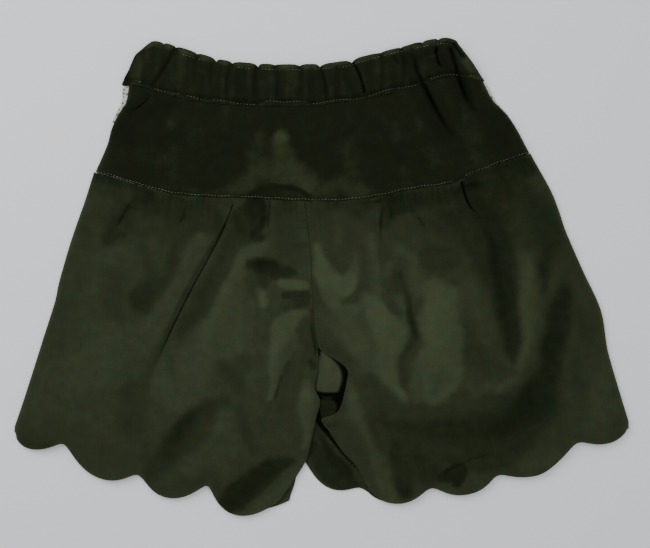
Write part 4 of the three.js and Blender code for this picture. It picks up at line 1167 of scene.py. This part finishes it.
@dataclass
class ClothWall:
    """One cut piece of cloth as a closed wall: a net over its outline, with an underside and an outer face.

    A guide is a share of its columns with the curve that this column follows down the piece.
    """

    name: str
    shape: Patch
    columns: Array
    rows: Array
    under: NetHeight
    thick: NetHeight
    guide: tuple[float, Curve] | None = None
    rim: float = 0.3

    def net(self, flat: Array) -> Places:
        """Return the shares u and v of a flat grid's corners."""
        column = np.interp(flat[:, 0] + 0.5, np.linspace(0, 1, len(self.columns)), self.columns)
        v = np.interp(0.5 - flat[:, 1], np.linspace(0, 1, len(self.rows)), self.rows)
        if self.guide is None:
            return column, v
        place, curve = self.guide
        at = curve(v)
        return np.where(column < place, at * column / place, mix(at, 1, (column - place) / (1 - place))), v

    def build(self, material: bpy.types.Material, tone: Height | None = None) -> bpy.types.Object:
        """Return the finished wall.

        Args:
            material: its finish.
            tone: the tone of its pile at any place, with its painted light and shade.

        Returns:
            The piece's object.
        """
        bm = bmesh.new()
        bmesh.ops.create_grid(bm, x_segments=len(self.columns) - 1, y_segments=len(self.rows) - 1, size=0.5)
        u, v = self.net(np.array([vert.co[:2] for vert in bm.verts]))
        x, y = self.shape(u, v)
        low = self.under(x, y, u, v)
        high = low + self.thick(x, y, u, v)
        number = bm.verts.layers.int.new("number")
        for i, vert in enumerate(bm.verts):
            vert[number] = i
            vert.co = (x[i] * MM, y[i] * MM, low[i] * MM)
        top = bmesh.ops.extrude_face_region(bm, geom=bm.faces[:], use_keep_orig=True)
        for vert in (g for g in top["geom"] if isinstance(g, bmesh.types.BMVert)):
            vert.co.z = high[vert[number]] * MM
        bmesh.ops.recalc_face_normals(bm, faces=bm.faces[:])
        if self.rim:
            sides = {f: len({vert[number] for vert in f.verts}) == 2 for f in bm.faces}
            rims = [e for e in bm.edges if sum(sides[f] for f in e.link_faces) == 1]
            bmesh.ops.bevel(bm, geom=rims, offset=self.rim * MM, offset_type="OFFSET", segments=2, profile=0.5,
                            affect="EDGES", material=-1, clamp_overlap=True)
        for face in bm.faces:
            face.smooth = True
        piece = to_object(bm, self.name, material)
        self.mark(piece.data, tone)
        return piece

    def mark(self, mesh: bpy.types.Mesh, tone: Height | None) -> None:
        """Write the piece's cut coordinates and the tone of its pile, with its painted light and shade, on its mesh.
        """
        places = np.empty(len(mesh.vertices) * 3)
        mesh.vertices.foreach_get("co", places)
        places = places.reshape(-1, 3)
        corners = np.empty(len(mesh.loops), dtype=np.int32)
        mesh.loops.foreach_get("vertex_index", corners)
        cut = mesh.uv_layers.new(name="cut")
        cut.data.foreach_set("uv", places[corners][:, :2].ravel())
        x, y = places[:, 0] / MM, places[:, 1] / MM
        tones = tone(x, y) if tone else np.zeros_like(x)
        mark = mesh.attributes.new("nap_and_shade", "FLOAT", "POINT")
        mark.data.foreach_set("value", tones.astype(np.float32))


def to_object(bm: bmesh.types.BMesh, name: str, material: bpy.types.Material) -> bpy.types.Object:
    """Return a new object in the scene with the mesh that was built, and free what built it."""
    mesh = bpy.data.meshes.new(name)
    bm.to_mesh(mesh)
    bm.free()
    mesh.materials.append(material)
    piece = bpy.data.objects.new(name, mesh)
    bpy.context.scene.collection.objects.link(piece)
    log.info("%s: %d faces", name, len(mesh.polygons))
    return piece


def flat_under(x: Array, y: Array, u: Array, v: Array) -> Array:
    """Return the height of an underside that lies on the surface."""
    return np.zeros_like(x)


def back_under(x: Array, y: Array, sides: Array) -> Array:
    """Return the height of the back layer's underside, given how far its sides let it rise."""
    rest = LAYERS.cloth + LAYERS.layer_gap + LAYERS.climb(y)
    folded = raised(FOLDS.soft, x, y) + raised(FOLDS.creases, x, y)
    return rest + np.maximum(0, (LAYERS.loft(y) + folded) * sides)


@dataclass
class Waistband:
    """The elasticated casing: gathered all along, with a ruffled header above the elastic."""

    waves: float = 22
    depth: float = 1.0
    notches: Rows = (  # where the header's ruffle dips, and how deep
        (-133, 1), (-117.4, 1.4), (-108.4, 1.2), (-92.6, 1.2), (-78.4, 2.8), (-66.5, 1.8), (-47.2, 2.6),
        (-34.9, 0.8), (-16.3, 1.4), (-1.3, 2.6), (22.6, 3.0), (44, 0.7), (59, 0.8), (75, 1.2), (87, 1.4), (101, 1),
    )
    top_x: tuple[float, float] = (-133.0, 101.0)
    seam_x: tuple[float, float] = (-149.0, 121.5)
    columns: int = 420
    rows: int = 44
    uneven: float = 0.012  # how unevenly the gathers are spaced
    sway: float = 7.0
    squareness: float = 3.4  # of the ruffle between two notches
    fullness: float = 0.8
    channel: tuple[float, float] = (0.12, 0.82)  # where the elastic's channel starts, and how deep it is
    channel_fall: float = 0.6
    outside: float = 0.35  # the share of the gathers' depth that is left outside the channel
    header_swell: float = 0.8
    header_depth: tuple[float, float] = (0.17, 0.12)  # where the swell ends, and how much of the depth it fades over
    # painted highlight on the tops of the header's ruffle; light_depth is where it ends and how much of the depth it
    # fades over
    painted_header_highlight: float = 0.65
    light_depth: tuple[float, float] = (0.16, 0.09)
    stitch_pulls: tuple[float, float] = (0.9, 0.7)  # how far the header's and the casing's stitches pull it in
    stitch_width: float = 1.3
    deepest: float = 1.9
    least: float = 0.9  # the least thickness that the creases leave
    front_lower: float = 1.2  # how much lower the front's header lies
    front_net: tuple[int, int] = (240, 16)

    def bumps(self, x: Array) -> Array:
        """Return how full the header's ruffle is at each x: 1 between its notches and 0 in them."""
        at = np.array(self.notches)[:, 0]
        i = np.clip(np.searchsorted(at, x, side="right") - 1, 0, len(at) - 2)
        t = np.clip((x - at[i]) / (at[i + 1] - at[i]), 0, 1)
        return (1 - np.abs(2 * t - 1) ** self.squareness) ** self.fullness

    def dips(self, x: Array) -> Array:
        """Return how far the header's edge dips below its full height at each x."""
        return np.interp(x, *np.array(self.notches).T) * (1 - self.bumps(x))

    def patch(self, lower: float) -> Patch:
        """Return the casing's outline, with its ruffled header lowered by that much."""

        def top(u: Array) -> Places:
            """Return the header's edge."""
            x = mix(*self.top_x, u)
            return x, PATTERN.waist_top(x) - lower - self.dips(x)

        bottom = across(*self.seam_x, PATTERN.waist_seam, LAYERS.sewn_gap / 2)

        def end(curve: Outline, share: float) -> Edge:
            """Return one of the casing's ends."""
            start, stop = end_of(top, share), end_of(bottom, share)
            return down(start[1], stop[1], pinned(curve, start, stop))

        return Patch(top, bottom, end(PATTERN.band_left, 0), end(PATTERN.band_right, 1))

    def locate(self, x: Array, y: Array) -> Places:
        """Return the shares u and v of places on the casing."""
        v = (PATTERN.waist_top(x) - y) / (PATTERN.waist_top(x) - PATTERN.waist_seam(x))
        left, right = mix(self.top_x[0], self.seam_x[0], v), mix(self.top_x[1], self.seam_x[1], v)
        return np.clip((x - left) / (right - left), 0, 1), np.clip(v, 0, 1)

    def under(self, x: Array, y: Array, u: Array, v: Array) -> Array:
        """Return the height of the back casing's underside."""
        sides = LAYERS.rise(np.minimum(u, 1 - u) * (self.seam_x[1] - self.seam_x[0]))
        off = (LAYERS.loft(y) + raised(FOLDS.soft, x, y)) * sides
        return LAYERS.casing_wall(v) + LAYERS.layer_gap + np.maximum(0, off)

    def gathered(self, x: Array, u: Array, v: Array) -> Array:
        """Return how far the gathers lift the casing's outer face, fullest between its rows of stitching."""
        between = np.sin(np.pi * np.clip((v - self.channel[0]) / self.channel[1], 0, 1)) ** self.channel_fall
        ripple = (1 + wave(u, self.waves, self.uneven, self.sway)) / 2
        small = 0.2 * puckers(x, 1.9, 3, 0.21) * (1 - between)
        header = self.header_swell * self.bumps(x) * ease((self.header_depth[0] - v) / self.header_depth[1])
        return self.depth * ripple * mix(self.outside, 1.0, between) + small + header

    def thick(self, x: Array, y: Array, u: Array, v: Array) -> Array:
        """Return the back casing's thickness, with its gathers, folds and the pull of its stitching."""
        pressed = np.maximum(raised(FOLDS.gathers, x, y) + raised(FOLDS.creases, x, y), -self.deepest)
        lines = (PATTERN.header_stitches, PATTERN.casing_stitches)
        pulled = sum(pull * bell(y - line(x), self.stitch_width) for pull, line in zip(self.stitch_pulls, lines))
        return np.maximum(LAYERS.casing_wall(v) + self.gathered(x, u, v) - pulled + pressed, self.least)

    def top_at(self, x: Array, y: Array) -> Array:
        """Return the height of the back casing's outer face."""
        u, v = self.locate(x, y)
        return self.under(x, y, u, v) + self.thick(x, y, u, v)

    def tone_at(self, x: Array, y: Array) -> Array:
        """Return the tone of the casing's pile, with a painted highlight on the header's ruffle, painted light and
        shade along the gathers and painted shade in the creases.
        """
        u, v = self.locate(x, y)
        tone = NAP_AND_SHADE.tone(NAP_AND_SHADE.band, 0.02, x, y)
        # painted light on the gathers' ridges and painted shade between them
        streaks = 0.08 * wave(u, self.waves, self.uneven, self.sway) + 0.06 * puckers(x, 0.83, 2, 0.09)
        header = self.painted_header_highlight * ease((self.light_depth[0] - v) / self.light_depth[1]) * self.bumps(x)
        return tone + streaks + header - painted_crease_shade(FOLDS.gathers, x, y) - painted_crease_shade(FOLDS.creases, x, y)

    def build(self, cloth: bpy.types.Material) -> tuple[bpy.types.Object, bpy.types.Object]:
        """Return the back casing and the front casing."""
        fine = (Focus(0.669, 0.006, 2.5), Focus(0.85, 0.03, 1.0), Focus(0.95, 0.03, 1.0))
        back = ClothWall("waistband_back_cloth", self.patch(0), graded(self.columns, *fine),
                         graded(self.rows), self.under, self.thick).build(cloth, self.tone_at)
        front = ClothWall("waistband_front_cloth", self.patch(self.front_lower), *map(graded, self.front_net),
                          flat_under, lambda x, y, u, v: LAYERS.casing_wall(v)).build(cloth)
        return back, front


@dataclass
class Yoke:
    """The hip yoke between the waistband and the gathered legs."""

    columns: int = 330
    rows: int = 96
    seam_raise: float = 0.5  # the seam allowances are pressed up under its lower edge
    allowance: float = 8.0
    allowance_edge: float = 4.0
    stitch_above: float = 1.1  # where the topstitching pulls the cloth in, above the seam
    stitch_pull: float = 0.3
    stitch_width: float = 0.8
    pucker: float = 0.12
    pucker_run: float = 7.0  # how far below the waistband the small puckers die away
    # painted sheen along the side edges, where the pile rolls over, and its width
    painted_edge_sheen: float = 0.7
    rim_width: float = 2.0
    row_above: float = 1.2  # where its row of stitches runs, and how far it wavers
    row_waver: float = 0.25
    waver_pace: float = 0.35
    front_inset: float = 0.2
    front_net: tuple[int, int] = (90, 24)

    def patch(self, inset: float) -> Patch:
        """Return the yoke's outline, set in from the sides by inset."""
        half = LAYERS.sewn_gap / 2
        top = across(-144 + inset, 121 - inset, PATTERN.waist_seam, -half)
        bottom = across(-170 + inset, 156 - inset, PATTERN.yoke_seam, half)
        left = down(end_of(top, 0)[1], end_of(bottom, 0)[1], PATTERN.side_left, inset)
        right = down(end_of(top, 1)[1], end_of(bottom, 1)[1], PATTERN.side_right, -inset)
        return Patch(top, bottom, left, right)

    def stitch_line(self, x: Array) -> Array:
        """Return the topstitching's line just above the yoke's lower seam."""
        return PATTERN.yoke_seam(x) + self.row_above + self.row_waver * np.sin(x * self.waver_pace)

    def inward(self, x: Array, y: Array) -> Array:
        """Return how far in from the nearer side a place lies."""
        return np.minimum(x - PATTERN.side_left(y), PATTERN.side_right(y) - x)

    def under_at(self, x: Array, y: Array) -> Array:
        """Return the height of the back yoke's underside."""
        return back_under(x, y, LAYERS.rise(self.inward(x, y)))

    def thick_at(self, x: Array, y: Array) -> Array:
        """Return the yoke's thickness: more over the seam allowances, and less along the topstitching."""
        above = y - PATTERN.yoke_seam(x)
        below = PATTERN.waist_seam(x) - y
        ridge = self.seam_raise * ease((self.allowance - above) / self.allowance_edge)
        ridge = ridge - self.stitch_pull * bell(above - self.stitch_above, self.stitch_width)
        small = self.pucker * puckers(x, 1.15, 2, 0.13) * np.exp(-np.maximum(below, 0) / self.pucker_run)
        return LAYERS.cloth + ridge + small

    def top_at(self, x: Array, y: Array) -> Array:
        """Return the height of the back yoke's outer face."""
        return self.under_at(x, y) + self.thick_at(x, y)

    def tone_at(self, x: Array, y: Array) -> Array:
        """Return the tone of the yoke's pile, with painted sheen along its side edges and painted shade in its
        creases.
        """
        rim = self.painted_edge_sheen * bell(self.inward(x, y), self.rim_width)
        return NAP_AND_SHADE.tone(NAP_AND_SHADE.yoke, -0.08, x, y) + rim - painted_crease_shade(FOLDS.creases, x, y)

    def build(self, cloth: bpy.types.Material) -> tuple[bpy.types.Object, bpy.types.Object]:
        """Return the back yoke and the front yoke."""
        fine = (Focus(0.832, 0.010, 2.5), Focus(0.92, 0.02, 1.5), Focus(0.035, 0.03, 0.8))
        back = ClothWall("yoke_back_cloth", self.patch(0), graded(self.columns, *fine), graded(self.rows),
                         lambda x, y, u, v: self.under_at(x, y),
                         lambda x, y, u, v: self.thick_at(x, y)).build(cloth, self.tone_at)
        front = ClothWall("yoke_front_cloth", self.patch(self.front_inset), *map(graded, self.front_net),
                          flat_under, lambda x, y, u, v: np.full_like(x, LAYERS.cloth)).build(cloth)
        return back, front


class Side(Enum):
    """Which side of the garment a leg is on, as seen from above."""

    LEFT = "left"
    RIGHT = "right"


@dataclass
class LegPanel:
    """One leg panel: gathered at the yoke seam, with a faced, scalloped hem."""

    side: Side
    hem: Scallops
    inner: Curve
    back: bool
    columns: Array
    rows: Array
    nap_and_shade: tuple[NapAndShadePatch, ...] = ()
    base_tone: float = 0.0
    lead: tuple[float, Outline] | None = None  # a column of its mesh and the path that it follows
    gathers: float = 11
    gather_uneven: tuple[float, float] = (0.03, 5)  # how unevenly they are spaced, and how often that comes back
    gather_depth: float = 0.35
    gather_reach: float = 17.0
    centre_x: float = -13.0
    crotch_y: float = -56.0
    part_above: float = 16.0  # how far above the crotch the inside edges start to part, and over how much
    part_run: float = 20.0
    pucker: float = 0.12
    pucker_run: float = 9.0  # how far below the seam the small puckers die away
    seam_sink: float = 0.4
    seam_width: float = 1.5
    # painted sheen along the outer edge and along the hem, each with its width
    painted_edge_sheen: float = 0.55
    rim_width: float = 1.8
    painted_hem_sheen: float = 0.30
    hem_width: float = 1.4
    streak: float = 0.10  # how far the pile's tone varies along the gathers, and over how far below them
    streak_run: float = 14.0
    streaks: float = 23
    streak_uneven: tuple[float, float] = (0.05, 4)
    hem_samples: int = 700
    hem_reach: float = 20.0
    hem_band: float = 12.0  # the hem's light is worked out up to this far above its highest place
    outer: Curve = field(init=False)
    inside: Curve = field(init=False)
    span: tuple[float, float] = field(init=False)

    def __post_init__(self) -> None:
        """Pin the panel's long edges to its corners."""
        half = LAYERS.sewn_gap / 2
        left = self.side is Side.LEFT
        self.span = (-170.0, self.centre_x - half) if left else (self.centre_x + half, 156.0)
        first, last = self.hem.cusps[0][:2], self.hem.cusps[-1][:2]
        start, end = self.top_corner(self.span[0]), self.top_corner(self.span[1])
        side = PATTERN.side_left if left else PATTERN.side_right
        if left:
            self.outer, self.inside = pinned(side, start, first), pinned(self.inner, end, last)
        else:
            self.inside, self.outer = pinned(self.inner, start, first), pinned(side, end, last)

    def top_corner(self, x: float) -> tuple[float, float]:
        """Return the place of the yoke seam's lower side at x."""
        return x, float(PATTERN.yoke_seam(np.array([x]))[0]) - LAYERS.sewn_gap / 2

    def patch(self) -> Patch:
        """Return the panel's outline."""
        top = across(*self.span, PATTERN.yoke_seam, -LAYERS.sewn_gap / 2)
        left, right = (self.outer, self.inside) if self.side is Side.LEFT else (self.inside, self.outer)
        y0, y1 = self.hem.cusps[0][1], self.hem.cusps[-1][1]
        return Patch(top, self.hem.line, down(end_of(top, 0)[1], y0, left), down(end_of(top, 1)[1], y1, right),
                     self.hem.hang)

    def share_at(self, x: Array, y: Array) -> Array:
        """Return how far across the panel a place lies, from 0 at its left edge to 1 at its right."""
        outer, inside = self.outer(y), self.inside(y)
        left, right = (outer, inside) if self.side is Side.LEFT else (inside, outer)
        return np.clip((x - left) / (right - left), 0, 1)

    def under_at(self, x: Array, y: Array) -> Array:
        """Return the height of the panel's underside."""
        if not self.back:
            return np.zeros_like(x)
        outward, inward = np.abs(x - self.outer(y)), np.abs(x - self.inside(y))
        parted = ease((self.crotch_y + self.part_above - y) / self.part_run)
        sides = LAYERS.rise(outward) * mix(1, LAYERS.rise(inward), parted)
        below = np.maximum(PATTERN.yoke_seam(x) - y, 0)
        ripple = 1 + wave(self.share_at(x, y), self.gathers, *self.gather_uneven)
        gathered = self.gather_depth * ripple * np.exp(-below / self.gather_reach) * LAYERS.rise(outward)
        return back_under(x, y, sides) + gathered + raised(FOLDS.lips, x, y)

    def thick_at(self, x: Array, y: Array) -> Array:
        """Return the panel's thickness, with small puckers where it is gathered into the seam."""
        if not self.back:
            return LAYERS.cloth + raised(FOLDS.front_bulges, x, y)
        below = np.maximum(PATTERN.yoke_seam(x) - y, 0)
        small = self.pucker * puckers(x, 1.7, 2.5, 0.11) * np.exp(-below / self.pucker_run)
        return LAYERS.cloth + small - self.seam_sink * bell(below, self.seam_width)

    def from_hem(self, x: Array, y: Array) -> Array:
        """Return how far each place is from the hem's edge, up to the hem's reach."""
        hem_x, hem_y = self.patch()(np.linspace(0, 1, self.hem_samples), np.ones(self.hem_samples))
        distance = np.full_like(x, self.hem_reach)
        low = np.flatnonzero(y < hem_y.max() + self.hem_band)
        for some in np.array_split(low, 1 + len(low) // 4000):
            square = (x[some, None] - hem_x) ** 2 + (y[some, None] - hem_y) ** 2
            distance[some] = np.minimum(np.sqrt(square.min(axis=1)), self.hem_reach)
        return distance

    def tone_at(self, x: Array, y: Array) -> Array:
        """Return the tone of the panel's pile, darker near the yoke seam, with painted sheen along its side edge and
        hem and painted shade in its creases.
        """
        tone = NAP_AND_SHADE.tone(self.nap_and_shade, self.base_tone, x, y) - painted_crease_shade(FOLDS.creases, x, y) * self.back
        seam = PATTERN.yoke_seam(x) - y
        tone = tone - NAP_AND_SHADE.seam_dark * np.exp(-((seam / NAP_AND_SHADE.seam_reach) ** 2))
        streaks = self.streak * wave(self.share_at(x, y), self.streaks, *self.streak_uneven)
        streaks = streaks * np.exp(-np.abs(seam) / self.streak_run)
        rim = self.painted_edge_sheen * bell(x - self.outer(y), self.rim_width)
        hem = self.painted_hem_sheen * bell(self.from_hem(x, y), self.hem_width)
        return tone + streaks + (rim + hem)

    def build(self, cloth: bpy.types.Material) -> bpy.types.Object:
        """Return the panel."""
        name = f"leg_{'back' if self.back else 'front'}_{self.side.value}_cloth"
        shape = self.patch()
        guide = (self.lead[0], shape.follow(self.lead[1])) if self.lead else None
        return ClothWall(name, shape, self.columns, self.rows,
                         lambda x, y, u, v: self.under_at(x, y),
                         lambda x, y, u, v: self.thick_at(x, y), guide).build(cloth, self.tone_at)


@dataclass
class PocketFacing:
    """The folded edge of a printed pocket facing that shows at one side."""

    side: Side
    outer: float
    inner: float
    y0: float
    y1: float
    narrowing: float = 0.35  # its width at its lower end, as a share of the width at its upper end
    net: tuple[int, int] = (8, 40)
    thinner: float = 0.15
    waver: float = 0.12
    waver_pace: float = 0.5

    def patch(self) -> Patch:
        """Return the strip's outline."""
        curve = PATTERN.side_left if self.side is Side.LEFT else PATTERN.side_right

        def edge(shift: float) -> Edge:
            """Return one long edge of the strip."""

            def place(v: Array) -> Places:
                """Return the edge's places."""
                y = mix(self.y0, self.y1, v)
                return curve(y) + shift * mix(1, self.narrowing, v), y

            return place

        left, right = (edge(s) for s in sorted((self.outer, self.inner)))
        return Patch(straight(end_of(left, 0), end_of(right, 0)), straight(end_of(left, 1), end_of(right, 1)),
                     left, right)

    def build(self, cotton: bpy.types.Material) -> bpy.types.Object:
        """Return the strip, with its folded edge rounded."""
        low = LAYERS.cloth + LAYERS.facing_gap
        thick = LAYERS.facing - self.thinner
        return ClothWall(f"pocket_facing_{self.side.value}_cloth", self.patch(), *map(graded, self.net),
                         lambda x, y, u, v: np.full_like(x, low),
                         lambda x, y, u, v: thick + self.waver * np.sin(y * self.waver_pace)).build(cotton)


@dataclass
class StitchRow:
    """A row of machine stitching along a line over the cloth."""

    name: str
    line: Curve
    x0: float
    x1: float
    surface: Height
    hidden: tuple[tuple[float, float], ...] = ()
    pitch: float = 2.5
    length: float = 1.8
    thread: float = 0.42
    proud: float = 0.2  # the share of its thickness by which its middle stands over the cloth
    sunk: float = 0.0
    samples: int = 1200

    def build(self, material: bpy.types.Material) -> bpy.types.Object:
        """Return the row as one mesh of short rounded stitches."""
        xs = np.linspace(self.x0, self.x1, self.samples)
        ys = self.line(xs)
        run = np.concatenate([[0], np.cumsum(np.hypot(np.diff(xs), np.diff(ys)))])
        centres = np.arange(self.pitch / 2, run[-1], self.pitch)
        x, y = np.interp(centres, run, xs), np.interp(centres, run, ys)
        turn = np.arctan2(np.gradient(y), np.gradient(x))
        reach = self.length / 2
        dx, dy = np.cos(turn) * reach, np.sin(turn) * reach
        z = self.surface(x, y) + self.thread * self.proud - self.sunk
        lean = np.arctan2(self.surface(x + dx, y + dy) - self.surface(x - dx, y - dy), 2 * reach)
        bm = bmesh.new()
        for i in range(len(x)):
            if any(a < x[i] < b for a, b in self.hidden):
                continue
            size = Matrix.Diagonal((reach * MM, self.thread / 2 * MM, self.thread / 2 * MM, 1))
            place = (Matrix.Translation(Vector((x[i], y[i], z[i])) * MM) @ Matrix.Rotation(turn[i], 4, "Z")
                     @ Matrix.Rotation(-lean[i], 4, "Y") @ size)
            bmesh.ops.create_uvsphere(bm, u_segments=6, v_segments=4, radius=1, matrix=place)
        for face in bm.faces:
            face.smooth = True
        return to_object(bm, self.name, material)


@dataclass(frozen=True)
class Studio:
    """The camera straight above, the pale floor and the soft light."""

    height: float = 0.9
    view_width: float = 0.4875  # what the picture's width covers on the floor
    centre: tuple[float, float] = (0.0026, 0.0019)
    floor_size: float = 3.0
    floor_colour: tuple[float, float, float] = (0.765, 0.775, 0.80)
    floor_roughness: float = 0.9
    floor_drop: float = 0.0002
    sky_colour: tuple[float, float, float] = (0.96, 0.98, 1.0)
    sky_strength: float = 0.35
    sensor: float = 36.0

    def camera(self) -> None:
        """Place the camera."""
        data = bpy.data.cameras.new("camera")
        data.sensor_width = self.sensor
        data.lens = self.sensor * self.height / self.view_width
        data.clip_start, data.clip_end = 0.01, 20
        camera = bpy.data.objects.new("camera", data)
        camera.location = (*self.centre, self.height)
        bpy.context.scene.collection.objects.link(camera)
        bpy.context.scene.camera = camera

    def floor(self) -> None:
        """Lay the floor."""
        bm = bmesh.new()
        bmesh.ops.create_grid(bm, x_segments=2, y_segments=2, size=self.floor_size / 2,
                              matrix=Matrix.Translation((0, 0, -self.floor_drop)))
        nodes = Nodes("floor")
        nodes.shader.inputs["Base Color"].default_value = (*self.floor_colour, 1)
        nodes.shader.inputs["Roughness"].default_value = self.floor_roughness
        to_object(bm, "floor", nodes.material)

    def lights(self) -> None:
        """Hang the lights: a broad one from the upper left, and an even sky."""
        self.panel("window", (-0.6, 0.7, 0.9), 0.9, 11)
        self.panel("ceiling", (0.1, 0.0, 1.6), 1.6, 16)
        world = bpy.data.worlds.new("sky")
        world.use_nodes = True
        background = world.node_tree.nodes["Background"]
        background.inputs["Color"].default_value = (*self.sky_colour, 1)
        background.inputs["Strength"].default_value = self.sky_strength
        bpy.context.scene.world = world

    def panel(self, name: str, place: tuple[float, float, float], size: float, power: float) -> None:
        """Hang one light panel that faces the garment."""
        data = bpy.data.lights.new(name, "AREA")
        data.size, data.energy = size, power
        light = bpy.data.objects.new(name, data)
        light.location = place
        light.rotation_euler = (-Vector(place)).to_track_quat("-Z", "Y").to_euler()
        bpy.context.scene.collection.objects.link(light)


@dataclass(frozen=True)
class Cut:
    """The flat piece that a sheet is cut as: its width, length and area in metres, and what it lies on."""

    width: float
    length: float
    area: float | None = None
    rests_on: tuple[str, ...] = ()


@dataclass
class Shorts:
    """The whole garment: it makes the pieces."""

    waistband: Waistband = field(default_factory=Waistband)
    yoke: Yoke = field(default_factory=Yoke)
    parted_gap: float = 1.2  # how far the inside edges are kept apart below the crotch, and where that is reached
    parted_run: float = 12.0
    yoke_cloth: Corduroy = Corduroy(
        ClothTone.YOKE, black=(0.0006, 0.0007, 0.0004), dark=(0.0042, 0.0052, 0.0026),
        base=(0.0086, 0.0112, 0.0047), light=(0.0290, 0.0370, 0.0170))
    leg_cloth: Corduroy = Corduroy(
        ClothTone.LEG, black=(0.0010, 0.0011, 0.0007), dark=(0.0092, 0.0130, 0.0054),
        base=(0.0236, 0.0294, 0.0148), light=(0.0440, 0.0560, 0.0280))
    cuts: dict[str, Cut] = field(default_factory=lambda: {
        "waistband_back": Cut(0.330, 0.0345, rests_on=("waistband_front",)),
        "waistband_front": Cut(0.330, 0.0345),
        "yoke_back": Cut(0.330, 0.095, 0.0250, ("yoke_front",)),
        "yoke_front": Cut(0.330, 0.095, 0.0250),
        "leg_back_left": Cut(0.240, 0.245, 0.0500, ("leg_front_left",)),
        "leg_back_right": Cut(0.240, 0.250, 0.0500, ("leg_front_right",)),
        "leg_front_left": Cut(0.240, 0.240, 0.0500),
        "leg_front_right": Cut(0.240, 0.245, 0.0500),
        "pocket_facing_left": Cut(0.010, 0.028, 0.00020, ("yoke_front",)),
        "pocket_facing_right": Cut(0.010, 0.028, 0.00014, ("yoke_front",)),
    })

    def legs(self) -> dict[str, LegPanel]:
        """Return the four leg panels by their nodes' names."""

        def right_of_left(y: Array) -> Array:
            """Return the right back's inner edge, kept clear of the left back's."""
            edge = np.maximum(PATTERN.back_inner_right(y), PATTERN.back_inner_left(y))
            return edge + LAYERS.sewn_gap + self.parted_gap * ease((LegPanel.crotch_y - y) / self.parted_run)

        pleat = Outline(((58, -64.3), (37.4, -72.3), (17.4, -82.2), (-10.1, -97.2), (-35.1, -109.6),
                         (-57.6, -119.8), (-71, -125.3), (-104, -137), (-150, -147.5)))
        trough = Outline(((77, 104), (63, 107), (54, 111), (47, 117), (30, 130), (5, 135), (-36, 141), (-59, 142),
                          (-100, 146), (-150, 150)))
        return {
            "leg_back_left": LegPanel(
                Side.LEFT, HEMS.back_left, PATTERN.back_inner_left, True,
                graded(200, Focus(0.55, 0.012, 4.0), Focus(1.0, 0.06, 0.5)), graded(222, Focus(0.0, 0.08, 0.5)),
                NAP_AND_SHADE.left_leg, 0.08, (0.55, pleat)),
            "leg_back_right": LegPanel(
                Side.RIGHT, HEMS.back_right, right_of_left, True,
                graded(196, Focus(0.0, 0.08, 1.0), Focus(0.68, 0.012, 1.5)),
                graded(222, Focus(0.66, 0.06, 0.8), Focus(0.0, 0.08, 0.5)), NAP_AND_SHADE.right_leg, -0.05, (0.68, trough)),
            "leg_front_left": LegPanel(
                Side.LEFT, HEMS.front_left, PATTERN.front_inner_left, False, graded(80), graded(60),
                base_tone=0.1),
            "leg_front_right": LegPanel(
                Side.RIGHT, HEMS.front_right, PATTERN.front_inner_right, False,
                graded(120, Focus(0.06, 0.07, 4.0)), graded(130, Focus(0.75, 0.25, 2.0)),
                NAP_AND_SHADE.front_right, -0.3),
        }

    def build(self) -> None:
        """Make every piece, hide the imported part of the same name, and attach the pieces and the stitching to the
        root.
        """
        yoke_cloth, leg_cloth = self.yoke_cloth.material(), self.leg_cloth.material()
        cotton, thread = PrintedCotton().material(), Thread().material()
        pieces: dict[str, bpy.types.Object] = {}
        pieces["waistband_back"], pieces["waistband_front"] = self.waistband.build(yoke_cloth)
        pieces["yoke_back"], pieces["yoke_front"] = self.yoke.build(yoke_cloth)
        for node, panel in self.legs().items():
            pieces[node] = panel.build(leg_cloth)
        pieces["pocket_facing_left"] = PocketFacing(Side.LEFT, -5, 3, 141, 115).build(cotton)
        pieces["pocket_facing_right"] = PocketFacing(Side.RIGHT, 2.5, -3, 143, 117).build(cotton)
        sewing = self.sewing(thread)
        for node, piece in pieces.items():
            cut = self.cuts[node]
            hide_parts(node)
            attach(piece, "root")
            list(cut.rests_on)
        for row, on in sewing:
            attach(row, "root")

    def sewing(self, thread: bpy.types.Material) -> list[tuple[bpy.types.Object, str]]:
        """Return each row of stitching with the node that it is sewn on."""
        rows = [
            (StitchRow("stitching_header", PATTERN.header_stitches, -128, 99, self.waistband.top_at,
                       hidden=((-130, -104), (-94, -91), (-86, -63), (-52, -44), (-31, -24), (-15, -4), (43, 46),
                               (60, 66), (80, 83)), thread=0.34, sunk=0.05), "waistband_back"),
            (StitchRow("stitching_casing", PATTERN.casing_stitches, -144, 119, self.waistband.top_at,
                       hidden=((-145, -140), (-134, -126), (-105, -101), (-84, -81), (-48, -43), (-12, -8),
                               (33, 36), (72, 81), (103, 110)), thread=0.34, sunk=0.02), "waistband_back"),
            (StitchRow("stitching_yoke", self.yoke.stitch_line, -168, 154, self.yoke.top_at,
                       hidden=((-65, -60), (98, 107)), thread=0.36, sunk=0.04), "yoke_back"),
        ]
        return [(row.build(thread), node) for row, node in rows]


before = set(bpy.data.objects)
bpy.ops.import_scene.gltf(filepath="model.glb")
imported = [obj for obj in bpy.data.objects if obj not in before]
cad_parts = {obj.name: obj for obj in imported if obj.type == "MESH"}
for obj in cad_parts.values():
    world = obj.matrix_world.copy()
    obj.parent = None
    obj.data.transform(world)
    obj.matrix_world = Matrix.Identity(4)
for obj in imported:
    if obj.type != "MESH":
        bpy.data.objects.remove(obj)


def main() -> None:
    """Build the scene."""
    logging.basicConfig(level=logging.INFO, format="%(name)s: %(message)s")
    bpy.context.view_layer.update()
    studio = Studio()
    studio.camera()
    studio.floor()
    studio.lights()
    Shorts().build()


if __name__ == "__main__":
    main()
